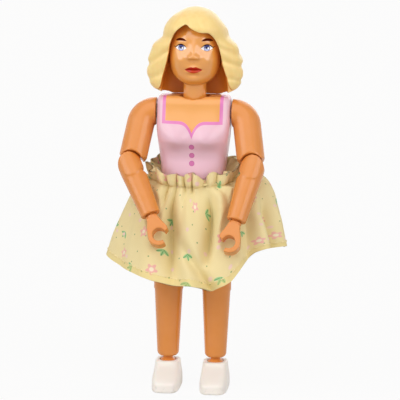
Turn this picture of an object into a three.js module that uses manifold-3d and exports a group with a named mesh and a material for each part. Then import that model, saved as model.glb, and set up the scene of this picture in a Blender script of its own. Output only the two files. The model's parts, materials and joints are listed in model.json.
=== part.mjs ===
// Articulated mini doll: a moulded body with hinged limbs, moulded hair and a gathered cloth skirt.
// Millimetres, +Z up. The doll faces -Y and stands on z = 0. Right and left are the doll's own,
// so its right side has x < 0.

import * as THREE from "three";
import { mergeVertices } from "three/addons/utils/BufferGeometryUtils.js";
import Module from "manifold-3d";

const wasm = await Module();
wasm.setup();
const { lerp, smoothstep, degToRad } = THREE.MathUtils;

// Clearances
const GAP = 0.3;
const PIN_GAP = 0.2;

// Facets
const LIMB_SIDES = 20;
const BODY_SIDES = 32;
const HEAD_SIDES = 28;
const PIN_SIDES = 12;
const CUT_REACH = 40;
const EDGE_TURNS = [30, 60, 90].map(degToRad);

// Heights, each from the one below
const ANKLE_HEIGHT = 10.4;
const SHIN_LENGTH = 22.2;
const THIGH_LENGTH = 18.5;
const HIP_TO_WAIST = 9;
const WAIST_TO_SHOULDER = 20;
const SHOULDER_RISE = 4.8;
const NECK_LENGTH = 6.1;
const HEAD_HEIGHT = 18.8;

// Torso and pelvis
const WAIST_HALF_WIDTH = 9;
const WAIST_FRONT = 6;
const WAIST_BACK = 5.2;
const CHEST_HALF_WIDTH = 10.45;
const CHEST_FRONT = 6.4;
const CHEST_BACK = 5.8;
const SHOULDER_DEPTH = 5;
const TORSO_SQUARENESS = 3.4;
const TORSO_WALL = 1.2;
const TORSO_EDGE = 0.9;
const BUST_HEIGHT = 14;
const BUST_SPREAD = 4.5;
const BUST_WIDTH = 3.4;
const BUST_RISE = 4.4;
const BUST_DEPTH = 1.9;
const PELVIS_HALF_WIDTH = 9.6;
const PELVIS_PLUG_RADIUS = 3.4;
const PELVIS_PLUG_LENGTH = 2.6;
const WEB_HALF_WIDTH = 2.2;
const HIP_FRONT_CUT = degToRad(26);
const HIP_BACK_CUT = degToRad(18);

// Neck, head and hair
const NECK_RADIUS = 3.25;
const NECK_SHAFT_RADIUS = 2.2;
const NECK_FLANGE_RADIUS = 3.4;
const NECK_FLANGE_THICKNESS = 1.2;
const COLLAR_DEPTH = 2.2;
const COLLAR_FLARE = 0.75;
const COLLAR_FLOOR = 1.8;
const HEAD_HALF_WIDTH = 7.4;
const FACE_DEPTH = 7.4;
const CHIN_FULLNESS = 0.4;
const HEAD_BACK = 7;
const WIDEST_SHARE = 0.436;
const HEAD_ROUNDNESS = 2.2;
const HEAD_POLE = degToRad(86.4);
const HAIR_HALF_WIDTH = 13.9;
const HAIR_FRONT = 9;
const HAIR_BACK = 10;
const HAIR_OVER_CROWN = 2.4;
const HAIR_OVER_SHOULDER = 0.35;
const HAIR_BACK_WALL = 5.5;
const HAIR_SQUARENESS = 2.3;
const HAIR_ROW_POWER = 1.25;
const HAIRLINE_BACK = 1;
const NECK_ROOM_SHARE = 1.08;
const NECK_ROOM_SQUARENESS = 3;
const LOCK_COUNT = 9;
const SIDES_PER_LOCK = 4;
const LOCK_DEPTH = 0.35;

// Arms
const ARM_RADIUS = 3.95;
const SHOULDER_STUB = 0.2;
const SHOULDER_BEND = 4.2;
const UPPER_ARM_DROP = 16.7;
const UPPER_ARM_TILT = degToRad(8.8);
const SHOULDER_PIN_RADIUS = 1.9;
const SHOULDER_PIN_DEPTH = 3;
const SHOULDER_FLANGE_RADIUS = 3;
const SHOULDER_FLANGE_THICKNESS = 1;
const FOREARM_LENGTH = 15.5;
const FOREARM_TOP_RADIUS = 3.6;
const WRIST_RADIUS = 2.75;
const WRIST_PEG_RADIUS = 1.3;
const WRIST_PEG_LENGTH = 3;
const ARM_SWING = degToRad(26);
const RIGHT_ELBOW_BEND = degToRad(34);
const LEFT_ELBOW_BEND = degToRad(22.5);

// Hands
const GRIP_DROP = 6.65;
const GRIP_RADIUS = 1.85;
const GRIP_WALL = 1.7;
const GRIP_HALF_WIDTH = 2;
const GRIP_MOUTH_TOP = degToRad(24);
const GRIP_MOUTH_BOTTOM = degToRad(-58);
const HAND_EDGE = 0.45;
const PALM_WIDTH_SHARE = 0.8;
const PALM_TOP_SHARE = 0.75;
const PALM_NECK_SHARE = 0.72;
const PALM_NECK_HEIGHT = 0.6;
const HAND_TOP_SHARE = 0.66;

// Elbow and knee hinges: a knuckle on the lower limb, a tongue on the upper one
const ELBOW_KNUCKLE_RADIUS = 3.5;
const ELBOW_HALF_WIDTH = 3.3;
const KNEE_KNUCKLE_RADIUS = 3.8;
const KNEE_HALF_WIDTH = 3.6;
const TONGUE_HALF_WIDTH = 1.7;
const TONGUE_HALF_THICKNESS = 0.8;
const TONGUE_ROOT = 1;
const HINGE_PIN_RADIUS = 0.8;
const PIN_WALL = 0.7;
const HINGE_REACH = degToRad(82);
const UPPER_OUTER_CUT = degToRad(20);
const UPPER_INNER_CUT = degToRad(40);
const LOWER_OUTER_CUT = degToRad(12);
const LOWER_INNER_CUT = degToRad(48);

// Legs
const LEG_SPREAD = 6.9;
const HIP_RADIUS = 4.4;
const HIP_HALF_WIDTH = 4;
const THIGH_END_RADIUS = 4.3;
const HIP_PIN_RADIUS = 1.3;
const HIP_PIN_WALL = 0.7;
const HIP_PIN_LENGTH = 6.6;
const SHIN_TOP_RADIUS = 4.25;
const SHIN_END_RADIUS = 3.15;
const SHIN_END_DROP = 1.4;
const SHIN_END_ROUND = 1.3;

// Ankles and shoes
const BALL_RADIUS = 1.95;
const ANKLE_NECK_RADIUS = 1.15;
const ANKLE_FLARE_RADIUS = 2.3;
const ANKLE_FLARE_DROP = 3.3;
const SHOE_PEG_RADIUS = 1.4;
const SHOE_PEG_LENGTH = 3.4;
const SHOE_HEIGHT = 7.9;
const SHOE_HALF_WIDTH = 4.15;
const SHOE_MOUTH_HALF_WIDTH = 3.4;
const SHOE_TOE = 10;
const SHOE_HEEL = 4.4;
const SHOE_SQUARENESS = 3.2;
const SHOE_CLOSING_START = 0.3;
const SHOE_INSTEP_POWER = 0.8;
const SOLE_INSET = 0.35;

// Skirt: drops run from the gathered waist line down to the hem
const ELASTIC_THICKNESS = 0.8;
const ELASTIC_HALF_HEIGHT = 1;
const CLOTH_THICKNESS = 0.7;
const WAIST_LINE_RISE = 1.6;
const WAIST_LINE_TILT = 2.1;
const RUFFLE_HEIGHT = 2.6;
const RUFFLE_FLARE = 1.6;
const HEM_HALF_WIDTH = 25.2;
const HEM_SIDE_SWAY = 0.7;
const HEM_FRONT = 18.5;
const HEM_BACK = 17;
const HEM_FRONT_DROP = 28;
const HEM_BACK_DROP = 25.8;
const HEM_RIGHT_DROP = 21.2;
const HEM_LEFT_DROP = 19.1;
const FRONT_PANEL_START = 0.3;
const FRONT_PANEL_END = 0.66;
const BELL_POWER = 0.48;
const BELL_SWAY = 0.27;
const BACK_FOLD_COUNT = 11;
const BACK_FOLD_DEPTH = 1.2;
const BACK_FOLD_START = -0.1;
const BACK_FOLD_FULL = 0.4;
const HAND_DENT_MARGIN = 1.1;
const SKIRT_SIDES = 56;
const SKIRT_ROWS = 9;
const SKIRT_ROW_POWER = 1.3;

// Folds of the front, from the right side to the left: where, how wide (degrees) and how far out
const FRONT_FOLDS = [
  { at: -148, width: 9, out: -1 },
  { at: -125, width: 10, out: 1.2 },
  { at: -105, width: 6, out: -2 },
  { at: -90, width: 9, out: 1.5 },
  { at: -75, width: 6, out: -2.2 },
  { at: -62, width: 6, out: 1 },
  { at: -50, width: 6, out: -3.2 },
  { at: -30, width: 9, out: 1.2 },
  { at: -16, width: 6, out: -1.3 },
  { at: -2, width: 7, out: 1.2 },
];

// Joint heights
const KNEE_Z = ANKLE_HEIGHT + SHIN_LENGTH;
const HIP_Z = KNEE_Z + THIGH_LENGTH;
const WAIST_Z = HIP_Z + HIP_TO_WAIST;
const SHOULDER_Z = WAIST_Z + WAIST_TO_SHOULDER;
const TORSO_TOP_Z = SHOULDER_Z + SHOULDER_RISE;
const COLLAR_Z = TORSO_TOP_Z - COLLAR_DEPTH;
const CHIN_Z = COLLAR_Z + NECK_LENGTH;
const CROWN_Z = CHIN_Z + HEAD_HEIGHT;

const SKIN = { color: 0xf5b877, roughness: 0.4, metalness: 0 };
const BODICE = { color: 0xf4d3e3, roughness: 0.4, metalness: 0 };
const HAIR = { color: 0xfde6ae, roughness: 0.5, metalness: 0 };
const WHITE = { color: 0xf4efe7, roughness: 0.45, metalness: 0 };
const PIN = { color: 0xd9d4cc, roughness: 0.5, metalness: 0 };
const CLOTH = { color: 0xf0e0a0, roughness: 0.95, metalness: 0 };
const ELASTIC = { color: 0xf2eee4, roughness: 0.9, metalness: 0 };

// Solids: a closed geometry, with its shared corners merged, that can be joined and cut.

function solid(geometry) {
  const bare = geometry.clone();
  bare.deleteAttribute("normal");
  bare.deleteAttribute("uv");
  const merged = mergeVertices(bare, 1e-4);
  const corners = merged.index.array;
  const triangles = [];
  for (let i = 0; i < corners.length; i += 3) {
    const [a, b, c] = [corners[i], corners[i + 1], corners[i + 2]];
    if (a !== b && b !== c && c !== a) {
      triangles.push(a, b, c);
    }
  }
  const mesh = new wasm.Mesh({
    numProp: 3,
    vertProperties: new Float32Array(merged.attributes.position.array),
    triVerts: new Uint32Array(triangles),
  });
  return new wasm.Manifold(mesh);
}

function geometryOf(body) {
  const mesh = body.getMesh();
  const geometry = new THREE.BufferGeometry();
  geometry.setAttribute("position", new THREE.BufferAttribute(new Float32Array(mesh.vertProperties), 3));
  geometry.setIndex(new THREE.BufferAttribute(new Uint32Array(mesh.triVerts), 1));
  geometry.computeVertexNormals();
  return geometry;
}

function moved(geometry, x, y, z, turnX = 0, turnY = 0, turnZ = 0) {
  const turn = new THREE.Quaternion().setFromEuler(new THREE.Euler(turnX, turnY, turnZ));
  const matrix = new THREE.Matrix4().compose(new THREE.Vector3(x, y, z), turn, new THREE.Vector3(1, 1, 1));
  return geometry.clone().applyMatrix4(matrix);
}

// Rings of equally many points, from bottom to top, as one closed skin.
function loft(rings) {
  const count = rings[0].length;
  const points = rings.flat();
  const index = [];
  for (let row = 0; row + 1 < rings.length; row += 1) {
    for (let i = 0; i < count; i += 1) {
      const a = row * count + i;
      const b = row * count + ((i + 1) % count);
      index.push(a, b, b + count, a, b + count, a + count);
    }
  }
  const last = (rings.length - 1) * count;
  const bottom = points.length;
  const top = bottom + 1;
  for (let i = 0; i < count; i += 1) {
    const next = (i + 1) % count;
    index.push(bottom, next, i, top, last + i, last + next);
  }
  for (const ends of [rings[0], rings[rings.length - 1]]) {
    const middle = ends.reduce((sum, point) => sum.add(point), new THREE.Vector3());
    points.push(middle.divideScalar(count));
  }
  const geometry = new THREE.BufferGeometry().setFromPoints(points);
  geometry.setIndex(index);
  return geometry;
}

// A rounded-rectangle ring at one height, with its own front and back depth.
function ring(z, { halfWidth, front, back, squareness = 2, x = 0, y = 0 }, sides = BODY_SIDES) {
  return Array.from({ length: sides }, (_, i) => {
    const turn = (2 * Math.PI * i) / sides;
    const across = Math.sign(Math.cos(turn)) * Math.abs(Math.cos(turn)) ** (2 / squareness);
    const along = Math.sign(Math.sin(turn)) * Math.abs(Math.sin(turn)) ** (2 / squareness);
    return new THREE.Vector3(x + halfWidth * across, y + (along < 0 ? front : back) * along, z);
  });
}

// A round limb along stations in the XZ plane; heading 0 runs straight down, towards +X if positive.
function limb(stations) {
  const rings = stations.map(({ x, z, heading, radius }) =>
    Array.from({ length: LIMB_SIDES }, (_, i) => {
      const turn = (2 * Math.PI * i) / LIMB_SIDES;
      const across = radius * Math.cos(turn);
      return new THREE.Vector3(
        x + across * Math.cos(heading),
        radius * Math.sin(turn),
        z + across * Math.sin(heading),
      );
    }),
  );
  return loft(rings.reverse());
}

// A profile of [radius, height] pairs turned about Z.
function turned(profile, sides = PIN_SIDES) {
  const points = profile.map(([radius, z]) => new THREE.Vector2(radius, z));
  return new THREE.LatheGeometry(points, sides).rotateX(Math.PI / 2);
}

function rod(radius, low, high, sides = PIN_SIDES) {
  return turned([[0, low], [radius, low], [radius, high], [0, high]], sides);
}

// The same rod along X and along Y.
const rodX = (radius, low, high, sides) => rod(radius, low, high, sides).rotateY(Math.PI / 2);
const rodY = (radius, low, high, sides) => rod(radius, low, high, sides).rotateX(-Math.PI / 2);

// A shape drawn in X and Z, pulled along Y.
function plate(shape, low, high, edge = 0) {
  const options = { depth: high - low - 2 * edge, bevelEnabled: edge > 0, curveSegments: PIN_SIDES };
  Object.assign(options, { bevelThickness: edge, bevelSize: edge, bevelOffset: -edge, bevelSegments: 1 });
  return new THREE.ExtrudeGeometry(shape, options).rotateX(Math.PI / 2).translate(0, high - edge, 0);
}

function piece(name, body, look) {
  const mesh = new THREE.Mesh(geometryOf(body), new THREE.MeshStandardMaterial(look));
  mesh.name = name;
  return mesh;
}

// Hinges, drawn about the hinge axis (Y) with the limb along Z and the bend towards +X.

function wedge(points) {
  const shape = new THREE.Shape(points.map(([x, z]) => new THREE.Vector2(x, z)));
  return solid(plate(shape, -CUT_REACH, CUT_REACH));
}

// What the upper limb loses below its arched end.
function upperEndCut(knuckleRadius) {
  const far = 2 * CUT_REACH;
  const below = wedge([
    [0, 0],
    [-far * Math.cos(UPPER_OUTER_CUT), far * Math.sin(UPPER_OUTER_CUT)],
    [-far, -far],
    [far, -far],
    [far * Math.cos(UPPER_INNER_CUT), far * Math.sin(UPPER_INNER_CUT)],
  ]);
  return below.add(solid(rodY(knuckleRadius + GAP, -CUT_REACH, CUT_REACH, LIMB_SIDES)));
}

// The tongue that hangs from the upper limb's arch and turns on the pin.
function tongue(knuckleRadius) {
  const rise = knuckleRadius + GAP + TONGUE_ROOT;
  const shape = new THREE.Shape();
  shape.moveTo(TONGUE_HALF_WIDTH, rise);
  shape.lineTo(-TONGUE_HALF_WIDTH, rise);
  shape.absarc(0, 0, TONGUE_HALF_WIDTH, Math.PI, 2 * Math.PI);
  const hole = new THREE.Path().absarc(0, 0, HINGE_PIN_RADIUS + PIN_GAP, 0, 2 * Math.PI, true);
  shape.holes.push(hole);
  return solid(plate(shape, -TONGUE_HALF_THICKNESS, TONGUE_HALF_THICKNESS));
}

// What the lower limb loses above its shoulder, outside the knuckle.
function lowerEndCut() {
  const far = 2 * CUT_REACH;
  return wedge([
    [0, 0],
    [far * Math.cos(LOWER_INNER_CUT), -far * Math.sin(LOWER_INNER_CUT)],
    [far, far],
    [-far, far],
    [-far * Math.cos(LOWER_OUTER_CUT), -far * Math.sin(LOWER_OUTER_CUT)],
  ]);
}

// The slot that the tongue sweeps through the knuckle, from straight to full bend.
function tongueSlot() {
  const room = TONGUE_HALF_WIDTH + GAP;
  const far = CUT_REACH;
  const [bendX, bendZ] = [Math.sin(HINGE_REACH), Math.cos(HINGE_REACH)];
  const shape = new THREE.Shape();
  shape.moveTo(-room, 0);
  shape.absarc(0, 0, room, Math.PI, 2 * Math.PI - HINGE_REACH);
  shape.lineTo(far * bendX + room * bendZ, far * bendZ - room * bendX);
  shape.lineTo(far, far);
  shape.lineTo(-room, far);
  const half = TONGUE_HALF_THICKNESS + GAP;
  return solid(plate(shape, -half, half));
}

function knuckled(lower, knuckleRadius, halfWidth, pinSide) {
  const low = pinSide > 0 ? -(halfWidth - PIN_WALL) : -CUT_REACH;
  const high = pinSide > 0 ? CUT_REACH : halfWidth - PIN_WALL;
  return lower
    .subtract(lowerEndCut())
    .add(solid(rodY(knuckleRadius, -halfWidth, halfWidth, LIMB_SIDES)))
    .subtract(tongueSlot())
    .subtract(solid(rodY(HINGE_PIN_RADIUS + PIN_GAP, low, high)));
}

function hingePin(halfWidth, pinSide) {
  const blind = -(halfWidth - PIN_WALL - PIN_GAP);
  const open = halfWidth - PIN_GAP;
  const [low, high] = pinSide > 0 ? [blind, open] : [-open, -blind];
  return solid(rodY(HINGE_PIN_RADIUS, low, high));
}

// Torso: two shells that close on the neck's and the shoulders' flanges.

function torsoSection(z, inset = 0) {
  const chest = smoothstep(z, WAIST_Z, SHOULDER_Z - SHOULDER_RISE / 2);
  const top = smoothstep(z, SHOULDER_Z - SHOULDER_RISE, TORSO_TOP_Z);
  return {
    halfWidth: lerp(WAIST_HALF_WIDTH, CHEST_HALF_WIDTH, chest) - inset,
    front: lerp(lerp(WAIST_FRONT, CHEST_FRONT, chest), SHOULDER_DEPTH, top) - inset,
    back: lerp(lerp(WAIST_BACK, CHEST_BACK, chest), SHOULDER_DEPTH, top) - inset,
    squareness: TORSO_SQUARENESS,
  };
}

function bustAt(x, z) {
  const across = (Math.abs(x) - BUST_SPREAD) / BUST_WIDTH;
  const up = (z - WAIST_Z - BUST_HEIGHT) / BUST_RISE;
  return BUST_DEPTH * Math.exp(-across * across - up * up);
}

function torsoSkin() {
  const rows = 10;
  const rings = [];
  for (let row = 0; row <= rows; row += 1) {
    const z = lerp(WAIST_Z, TORSO_TOP_Z - TORSO_EDGE, row / rows);
    const outline = ring(z, torsoSection(z));
    for (const point of outline) {
      if (point.y < 0) {
        point.y -= bustAt(point.x, z);
      }
    }
    rings.push(outline);
  }
  for (const turn of EDGE_TURNS) {
    const z = TORSO_TOP_Z - TORSO_EDGE * (1 - Math.sin(turn));
    rings.push(ring(z, torsoSection(z, TORSO_EDGE * (1 - Math.cos(turn)))));
  }
  return solid(loft(rings));
}

function torsoHollow() {
  const rows = 5;
  const floor = WAIST_Z + TORSO_WALL;
  const roof = COLLAR_Z - COLLAR_FLOOR;
  const rings = [];
  for (let row = 0; row <= rows; row += 1) {
    const z = lerp(floor, roof, row / rows);
    rings.push(ring(z, torsoSection(z, TORSO_WALL)));
  }
  return solid(loft(rings));
}

const FLANGE_OUTSIDE = CHEST_HALF_WIDTH - TORSO_WALL - GAP;
const FLANGE_INSIDE = FLANGE_OUTSIDE - SHOULDER_FLANGE_THICKNESS;

function torsoBody() {
  const collar = turned([
    [0, COLLAR_Z],
    [NECK_RADIUS + GAP, COLLAR_Z],
    [NECK_RADIUS + GAP + COLLAR_FLARE, TORSO_TOP_Z + GAP],
    [0, TORSO_TOP_Z + GAP],
  ], LIMB_SIDES);
  const neckHole = rod(NECK_SHAFT_RADIUS + GAP, SHOULDER_Z - SHOULDER_RISE, COLLAR_Z + GAP, LIMB_SIDES);
  const plugHole = rod(PELVIS_PLUG_RADIUS + GAP, WAIST_Z - GAP, WAIST_Z + PELVIS_PLUG_LENGTH, LIMB_SIDES);
  let body = torsoSkin().subtract(torsoHollow());
  for (const cut of [collar, neckHole, plugHole]) {
    body = body.subtract(solid(cut));
  }
  for (const side of [-1, 1]) {
    const hole = rodX(SHOULDER_PIN_RADIUS + GAP, FLANGE_INSIDE, CHEST_HALF_WIDTH + GAP, LIMB_SIDES);
    const room = rodX(SHOULDER_FLANGE_RADIUS + GAP, FLANGE_INSIDE - GAP, FLANGE_OUTSIDE + GAP, LIMB_SIDES);
    for (const cut of [hole, room]) {
      const turn = side > 0 ? 0 : Math.PI;
      body = body.subtract(solid(moved(cut, 0, 0, SHOULDER_Z, 0, 0, turn)));
    }
  }
  return body;
}

function torsoShells() {
  const body = torsoBody();
  const half = new THREE.BoxGeometry(2 * CUT_REACH, CUT_REACH, 4 * CUT_REACH);
  const middle = (CUT_REACH + GAP) / 2;
  const front = body.intersect(solid(moved(half, 0, -middle, SHOULDER_Z)));
  const back = body.intersect(solid(moved(half, 0, middle, SHOULDER_Z)));
  return [piece("torso_front", front, BODICE), piece("torso_back", back, BODICE)];
}

// Pelvis: a block with a web between the thighs, plugged into the torso.

// The room that a thigh needs to swing: all below a line that rises to the front and to the back.
function swingRoom(low, high) {
  const far = 2 * CUT_REACH;
  const corners = [
    [0, 0],
    [-far * Math.cos(HIP_BACK_CUT), far * Math.sin(HIP_BACK_CUT)],
    [-far, -far],
    [far, -far],
    [far * Math.cos(HIP_FRONT_CUT), far * Math.sin(HIP_FRONT_CUT)],
  ];
  const shape = new THREE.Shape(corners.map(([x, z]) => new THREE.Vector2(x, z)));
  return plate(shape, low, high).rotateZ(-Math.PI / 2);
}

function pelvis() {
  const crotch = HIP_Z - HIP_RADIUS;
  const top = WAIST_Z - GAP;
  const hip = { halfWidth: PELVIS_HALF_WIDTH, front: WAIST_FRONT, back: WAIST_BACK };
  const waist = { halfWidth: WAIST_HALF_WIDTH, front: WAIST_FRONT, back: WAIST_BACK };
  const rings = [
    ring(crotch, { ...hip, front: WAIST_FRONT / 2, back: WAIST_BACK / 2, squareness: TORSO_SQUARENESS }),
    ring(lerp(crotch, HIP_Z, 0.5), { ...hip, squareness: TORSO_SQUARENESS }),
    ring(lerp(HIP_Z, top, 0.5), { ...hip, squareness: TORSO_SQUARENESS }),
    ring(top, { ...waist, squareness: TORSO_SQUARENESS }),
  ];
  let body = solid(loft(rings));
  body = body.add(solid(rod(PELVIS_PLUG_RADIUS, HIP_Z + HIP_RADIUS, top + PELVIS_PLUG_LENGTH, LIMB_SIDES)));
  for (const side of [-1, 1]) {
    const [low, high] = side > 0 ? [WEB_HALF_WIDTH, CUT_REACH] : [-CUT_REACH, -WEB_HALF_WIDTH];
    const pinEnd = side * (HIP_PIN_WALL - PIN_GAP);
    const [pinLow, pinHigh] = side > 0 ? [pinEnd, CUT_REACH] : [-CUT_REACH, pinEnd];
    const socket = rodX(HIP_RADIUS + GAP, low, high, LIMB_SIDES);
    const pinHole = rodX(HIP_PIN_RADIUS + PIN_GAP, pinLow, pinHigh);
    for (const cut of [socket, swingRoom(low, high), pinHole]) {
      body = body.subtract(solid(moved(cut, 0, 0, HIP_Z)));
    }
  }
  return piece("pelvis", body, BODICE);
}

// Head with its neck, and the hair that fits over it.

function headSkin(grow = 0) {
  const rows = 12;
  const widest = CHIN_Z + HEAD_HEIGHT * WIDEST_SHARE;
  const rings = [];
  for (let row = 0; row <= rows; row += 1) {
    const turn = lerp(-HEAD_POLE, HEAD_POLE, row / rows);
    const up = Math.sin(turn);
    const reach = up < 0 ? widest - CHIN_Z : CROWN_Z - widest;
    const round = (1 - Math.abs(up) ** HEAD_ROUNDNESS) ** (1 / HEAD_ROUNDNESS);
    const face = up < 0 ? round ** CHIN_FULLNESS : round;
    rings.push(ring(widest + (reach + grow) * up, {
      halfWidth: HEAD_HALF_WIDTH * round + grow,
      front: FACE_DEPTH * face + grow,
      back: HEAD_BACK * round + grow,
      squareness: HEAD_ROUNDNESS,
    }, HEAD_SIDES));
  }
  return solid(loft(rings));
}

function head() {
  const roofBottom = COLLAR_Z - COLLAR_FLOOR;
  const flangeTop = roofBottom - GAP;
  const neck = turned([
    [0, flangeTop - NECK_FLANGE_THICKNESS],
    [NECK_FLANGE_RADIUS, flangeTop - NECK_FLANGE_THICKNESS],
    [NECK_FLANGE_RADIUS, flangeTop],
    [NECK_SHAFT_RADIUS, flangeTop],
    [NECK_SHAFT_RADIUS, COLLAR_Z + GAP],
    [NECK_RADIUS, COLLAR_Z + GAP],
    [NECK_RADIUS, CHIN_Z + NECK_RADIUS],
    [0, CHIN_Z + NECK_RADIUS],
  ], LIMB_SIDES);
  return piece("head", headSkin().add(solid(neck)), SKIN);
}

const HAIR_BOTTOM_Z = TORSO_TOP_Z + HAIR_OVER_SHOULDER;
const HAIR_TOP_Z = CROWN_Z + HAIR_OVER_CROWN;

// Hair outlines, as shares of its height and of its half-width, front and back depth.
const HAIR_SIDES = [[0, 0.7], [0.08, 0.88], [0.2, 1], [0.38, 0.97], [0.56, 0.85], [0.64, 0.71],
  [0.77, 0.62], [0.88, 0.48], [0.95, 0.3], [1, 0.04]];
const HAIR_FRONTS = [[0, 0.55], [0.3, 0.66], [0.55, 0.8], [0.76, 1], [0.88, 0.82], [0.95, 0.55], [1, 0.08]];
const HAIR_BACKS = [[0, 0.8], [0.25, 0.98], [0.5, 1], [0.76, 0.92], [0.88, 0.72], [0.95, 0.48], [1, 0.06]];

// The value of an outline at a share of its height, on a smooth line through its points.
function along(outline, share) {
  const last = outline.length - 2;
  const at = Math.min(last, outline.findIndex(([end], i) => i > last || share <= outline[i + 1][0]));
  const [low, from] = outline[at];
  const [high, to] = outline[at + 1];
  return lerp(from, to, smoothstep(share, low, high) * 0.5 + ((share - low) / (high - low)) * 0.5);
}

function hairSkin() {
  const rows = 14;
  const rings = [];
  for (let row = 0; row <= rows; row += 1) {
    const share = Math.sin((row / rows) * Math.PI / 2) ** HAIR_ROW_POWER;
    const outline = ring(lerp(HAIR_BOTTOM_Z, HAIR_TOP_Z, share), {
      halfWidth: HAIR_HALF_WIDTH * along(HAIR_SIDES, share),
      front: HAIR_FRONT * along(HAIR_FRONTS, share),
      back: HAIR_BACK * along(HAIR_BACKS, share),
      squareness: HAIR_SQUARENESS,
    }, SIDES_PER_LOCK * LOCK_COUNT);
    outline.forEach((point, i) => {
      const lock = 1 - (LOCK_DEPTH / HAIR_BACK) * (1 - share) * (i % SIDES_PER_LOCK === 0 ? 1 : 0);
      point.x *= lock;
      point.y *= lock;
    });
    rings.push(outline);
  }
  return solid(loft(rings));
}

// Hairline of the face opening: shares of the head's half-width and of its height over the chin.
const HAIRLINE = [[NECK_ROOM_SHARE, -0.3], [NECK_ROOM_SHARE, 0.34], [0.9, 0.62], [0.53, 0.79],
  [0.11, 0.81], [-0.32, 0.915], [-0.76, 0.75], [-0.955, 0.574], [-NECK_ROOM_SHARE, 0.34],
  [-NECK_ROOM_SHARE, -0.3]];

function hair() {
  const outline = HAIRLINE.map(([x, z]) => new THREE.Vector2(x * HEAD_HALF_WIDTH, CHIN_Z + z * HEAD_HEIGHT));
  const opening = solid(plate(new THREE.Shape(outline), -CUT_REACH, -HAIRLINE_BACK));
  const room = {
    halfWidth: HEAD_HALF_WIDTH * NECK_ROOM_SHARE,
    front: CUT_REACH,
    back: HAIR_BACK - HAIR_BACK_WALL,
    squareness: NECK_ROOM_SQUARENESS,
  };
  const neckRoom = solid(loft([
    ring(HAIR_BOTTOM_Z - GAP, room),
    ring(CHIN_Z + HEAD_HEIGHT / 4, room),
  ]));
  const body = hairSkin().subtract(headSkin(GAP)).subtract(opening).subtract(neckRoom);
  return piece("hair", body, HAIR);
}

// Arms, drawn as the right one: the torso on the +X side, the shoulder axis through the origin.

const BEND_START = -(GAP + SHOULDER_STUB);
const BEND_END_X = BEND_START - SHOULDER_BEND * Math.cos(UPPER_ARM_TILT);
const BEND_END_Z = -SHOULDER_BEND * (1 - Math.sin(UPPER_ARM_TILT));
const ELBOW_X = BEND_END_X - (UPPER_ARM_DROP + BEND_END_Z) * Math.tan(UPPER_ARM_TILT);
const ELBOW_Z = -UPPER_ARM_DROP;

function upperArm() {
  const stations = [{ x: -GAP, z: 0, heading: -Math.PI / 2, radius: ARM_RADIUS }];
  const steps = 7;
  for (let step = 0; step <= steps; step += 1) {
    const heading = lerp(-Math.PI / 2, -UPPER_ARM_TILT, step / steps);
    stations.push({
      x: BEND_START - SHOULDER_BEND * Math.cos(heading),
      z: -SHOULDER_BEND * (1 + Math.sin(heading)),
      heading,
      radius: ARM_RADIUS,
    });
  }
  const past = ARM_RADIUS;
  stations.push({
    x: ELBOW_X - past * Math.sin(UPPER_ARM_TILT),
    z: ELBOW_Z - past * Math.cos(UPPER_ARM_TILT),
    heading: -UPPER_ARM_TILT,
    radius: ARM_RADIUS,
  });
  const turn = new THREE.Matrix4().makeRotationY(UPPER_ARM_TILT).setPosition(ELBOW_X, 0, ELBOW_Z);
  const end = turn.elements;
  const bore = rodX(SHOULDER_PIN_RADIUS + GAP, -GAP - SHOULDER_PIN_DEPTH - GAP, 0);
  return solid(limb(stations))
    .subtract(upperEndCut(ELBOW_KNUCKLE_RADIUS).transform(end))
    .add(tongue(ELBOW_KNUCKLE_RADIUS).transform(end))
    .subtract(solid(bore));
}

function shoulderPin() {
  const wall = TORSO_WALL + GAP;
  const profile = [
    [0, -GAP - SHOULDER_PIN_DEPTH],
    [SHOULDER_PIN_RADIUS, -GAP - SHOULDER_PIN_DEPTH],
    [SHOULDER_PIN_RADIUS, wall],
    [SHOULDER_FLANGE_RADIUS, wall],
    [SHOULDER_FLANGE_RADIUS, wall + SHOULDER_FLANGE_THICKNESS],
    [0, wall + SHOULDER_FLANGE_THICKNESS],
  ];
  return solid(turned(profile, LIMB_SIDES).rotateY(Math.PI / 2));
}

function forearm(pinSide) {
  const stations = [
    { x: 0, z: 0, heading: 0, radius: FOREARM_TOP_RADIUS },
    { x: 0, z: -ELBOW_KNUCKLE_RADIUS, heading: 0, radius: FOREARM_TOP_RADIUS },
    { x: 0, z: -FOREARM_LENGTH, heading: 0, radius: WRIST_RADIUS },
  ];
  const boreEnd = GAP - FOREARM_LENGTH + WRIST_PEG_LENGTH;
  const bore = rod(WRIST_PEG_RADIUS + PIN_GAP, -FOREARM_LENGTH - GAP, boreEnd);
  return knuckled(solid(limb(stations)), ELBOW_KNUCKLE_RADIUS, ELBOW_HALF_WIDTH, pinSide)
    .subtract(solid(bore));
}

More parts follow.
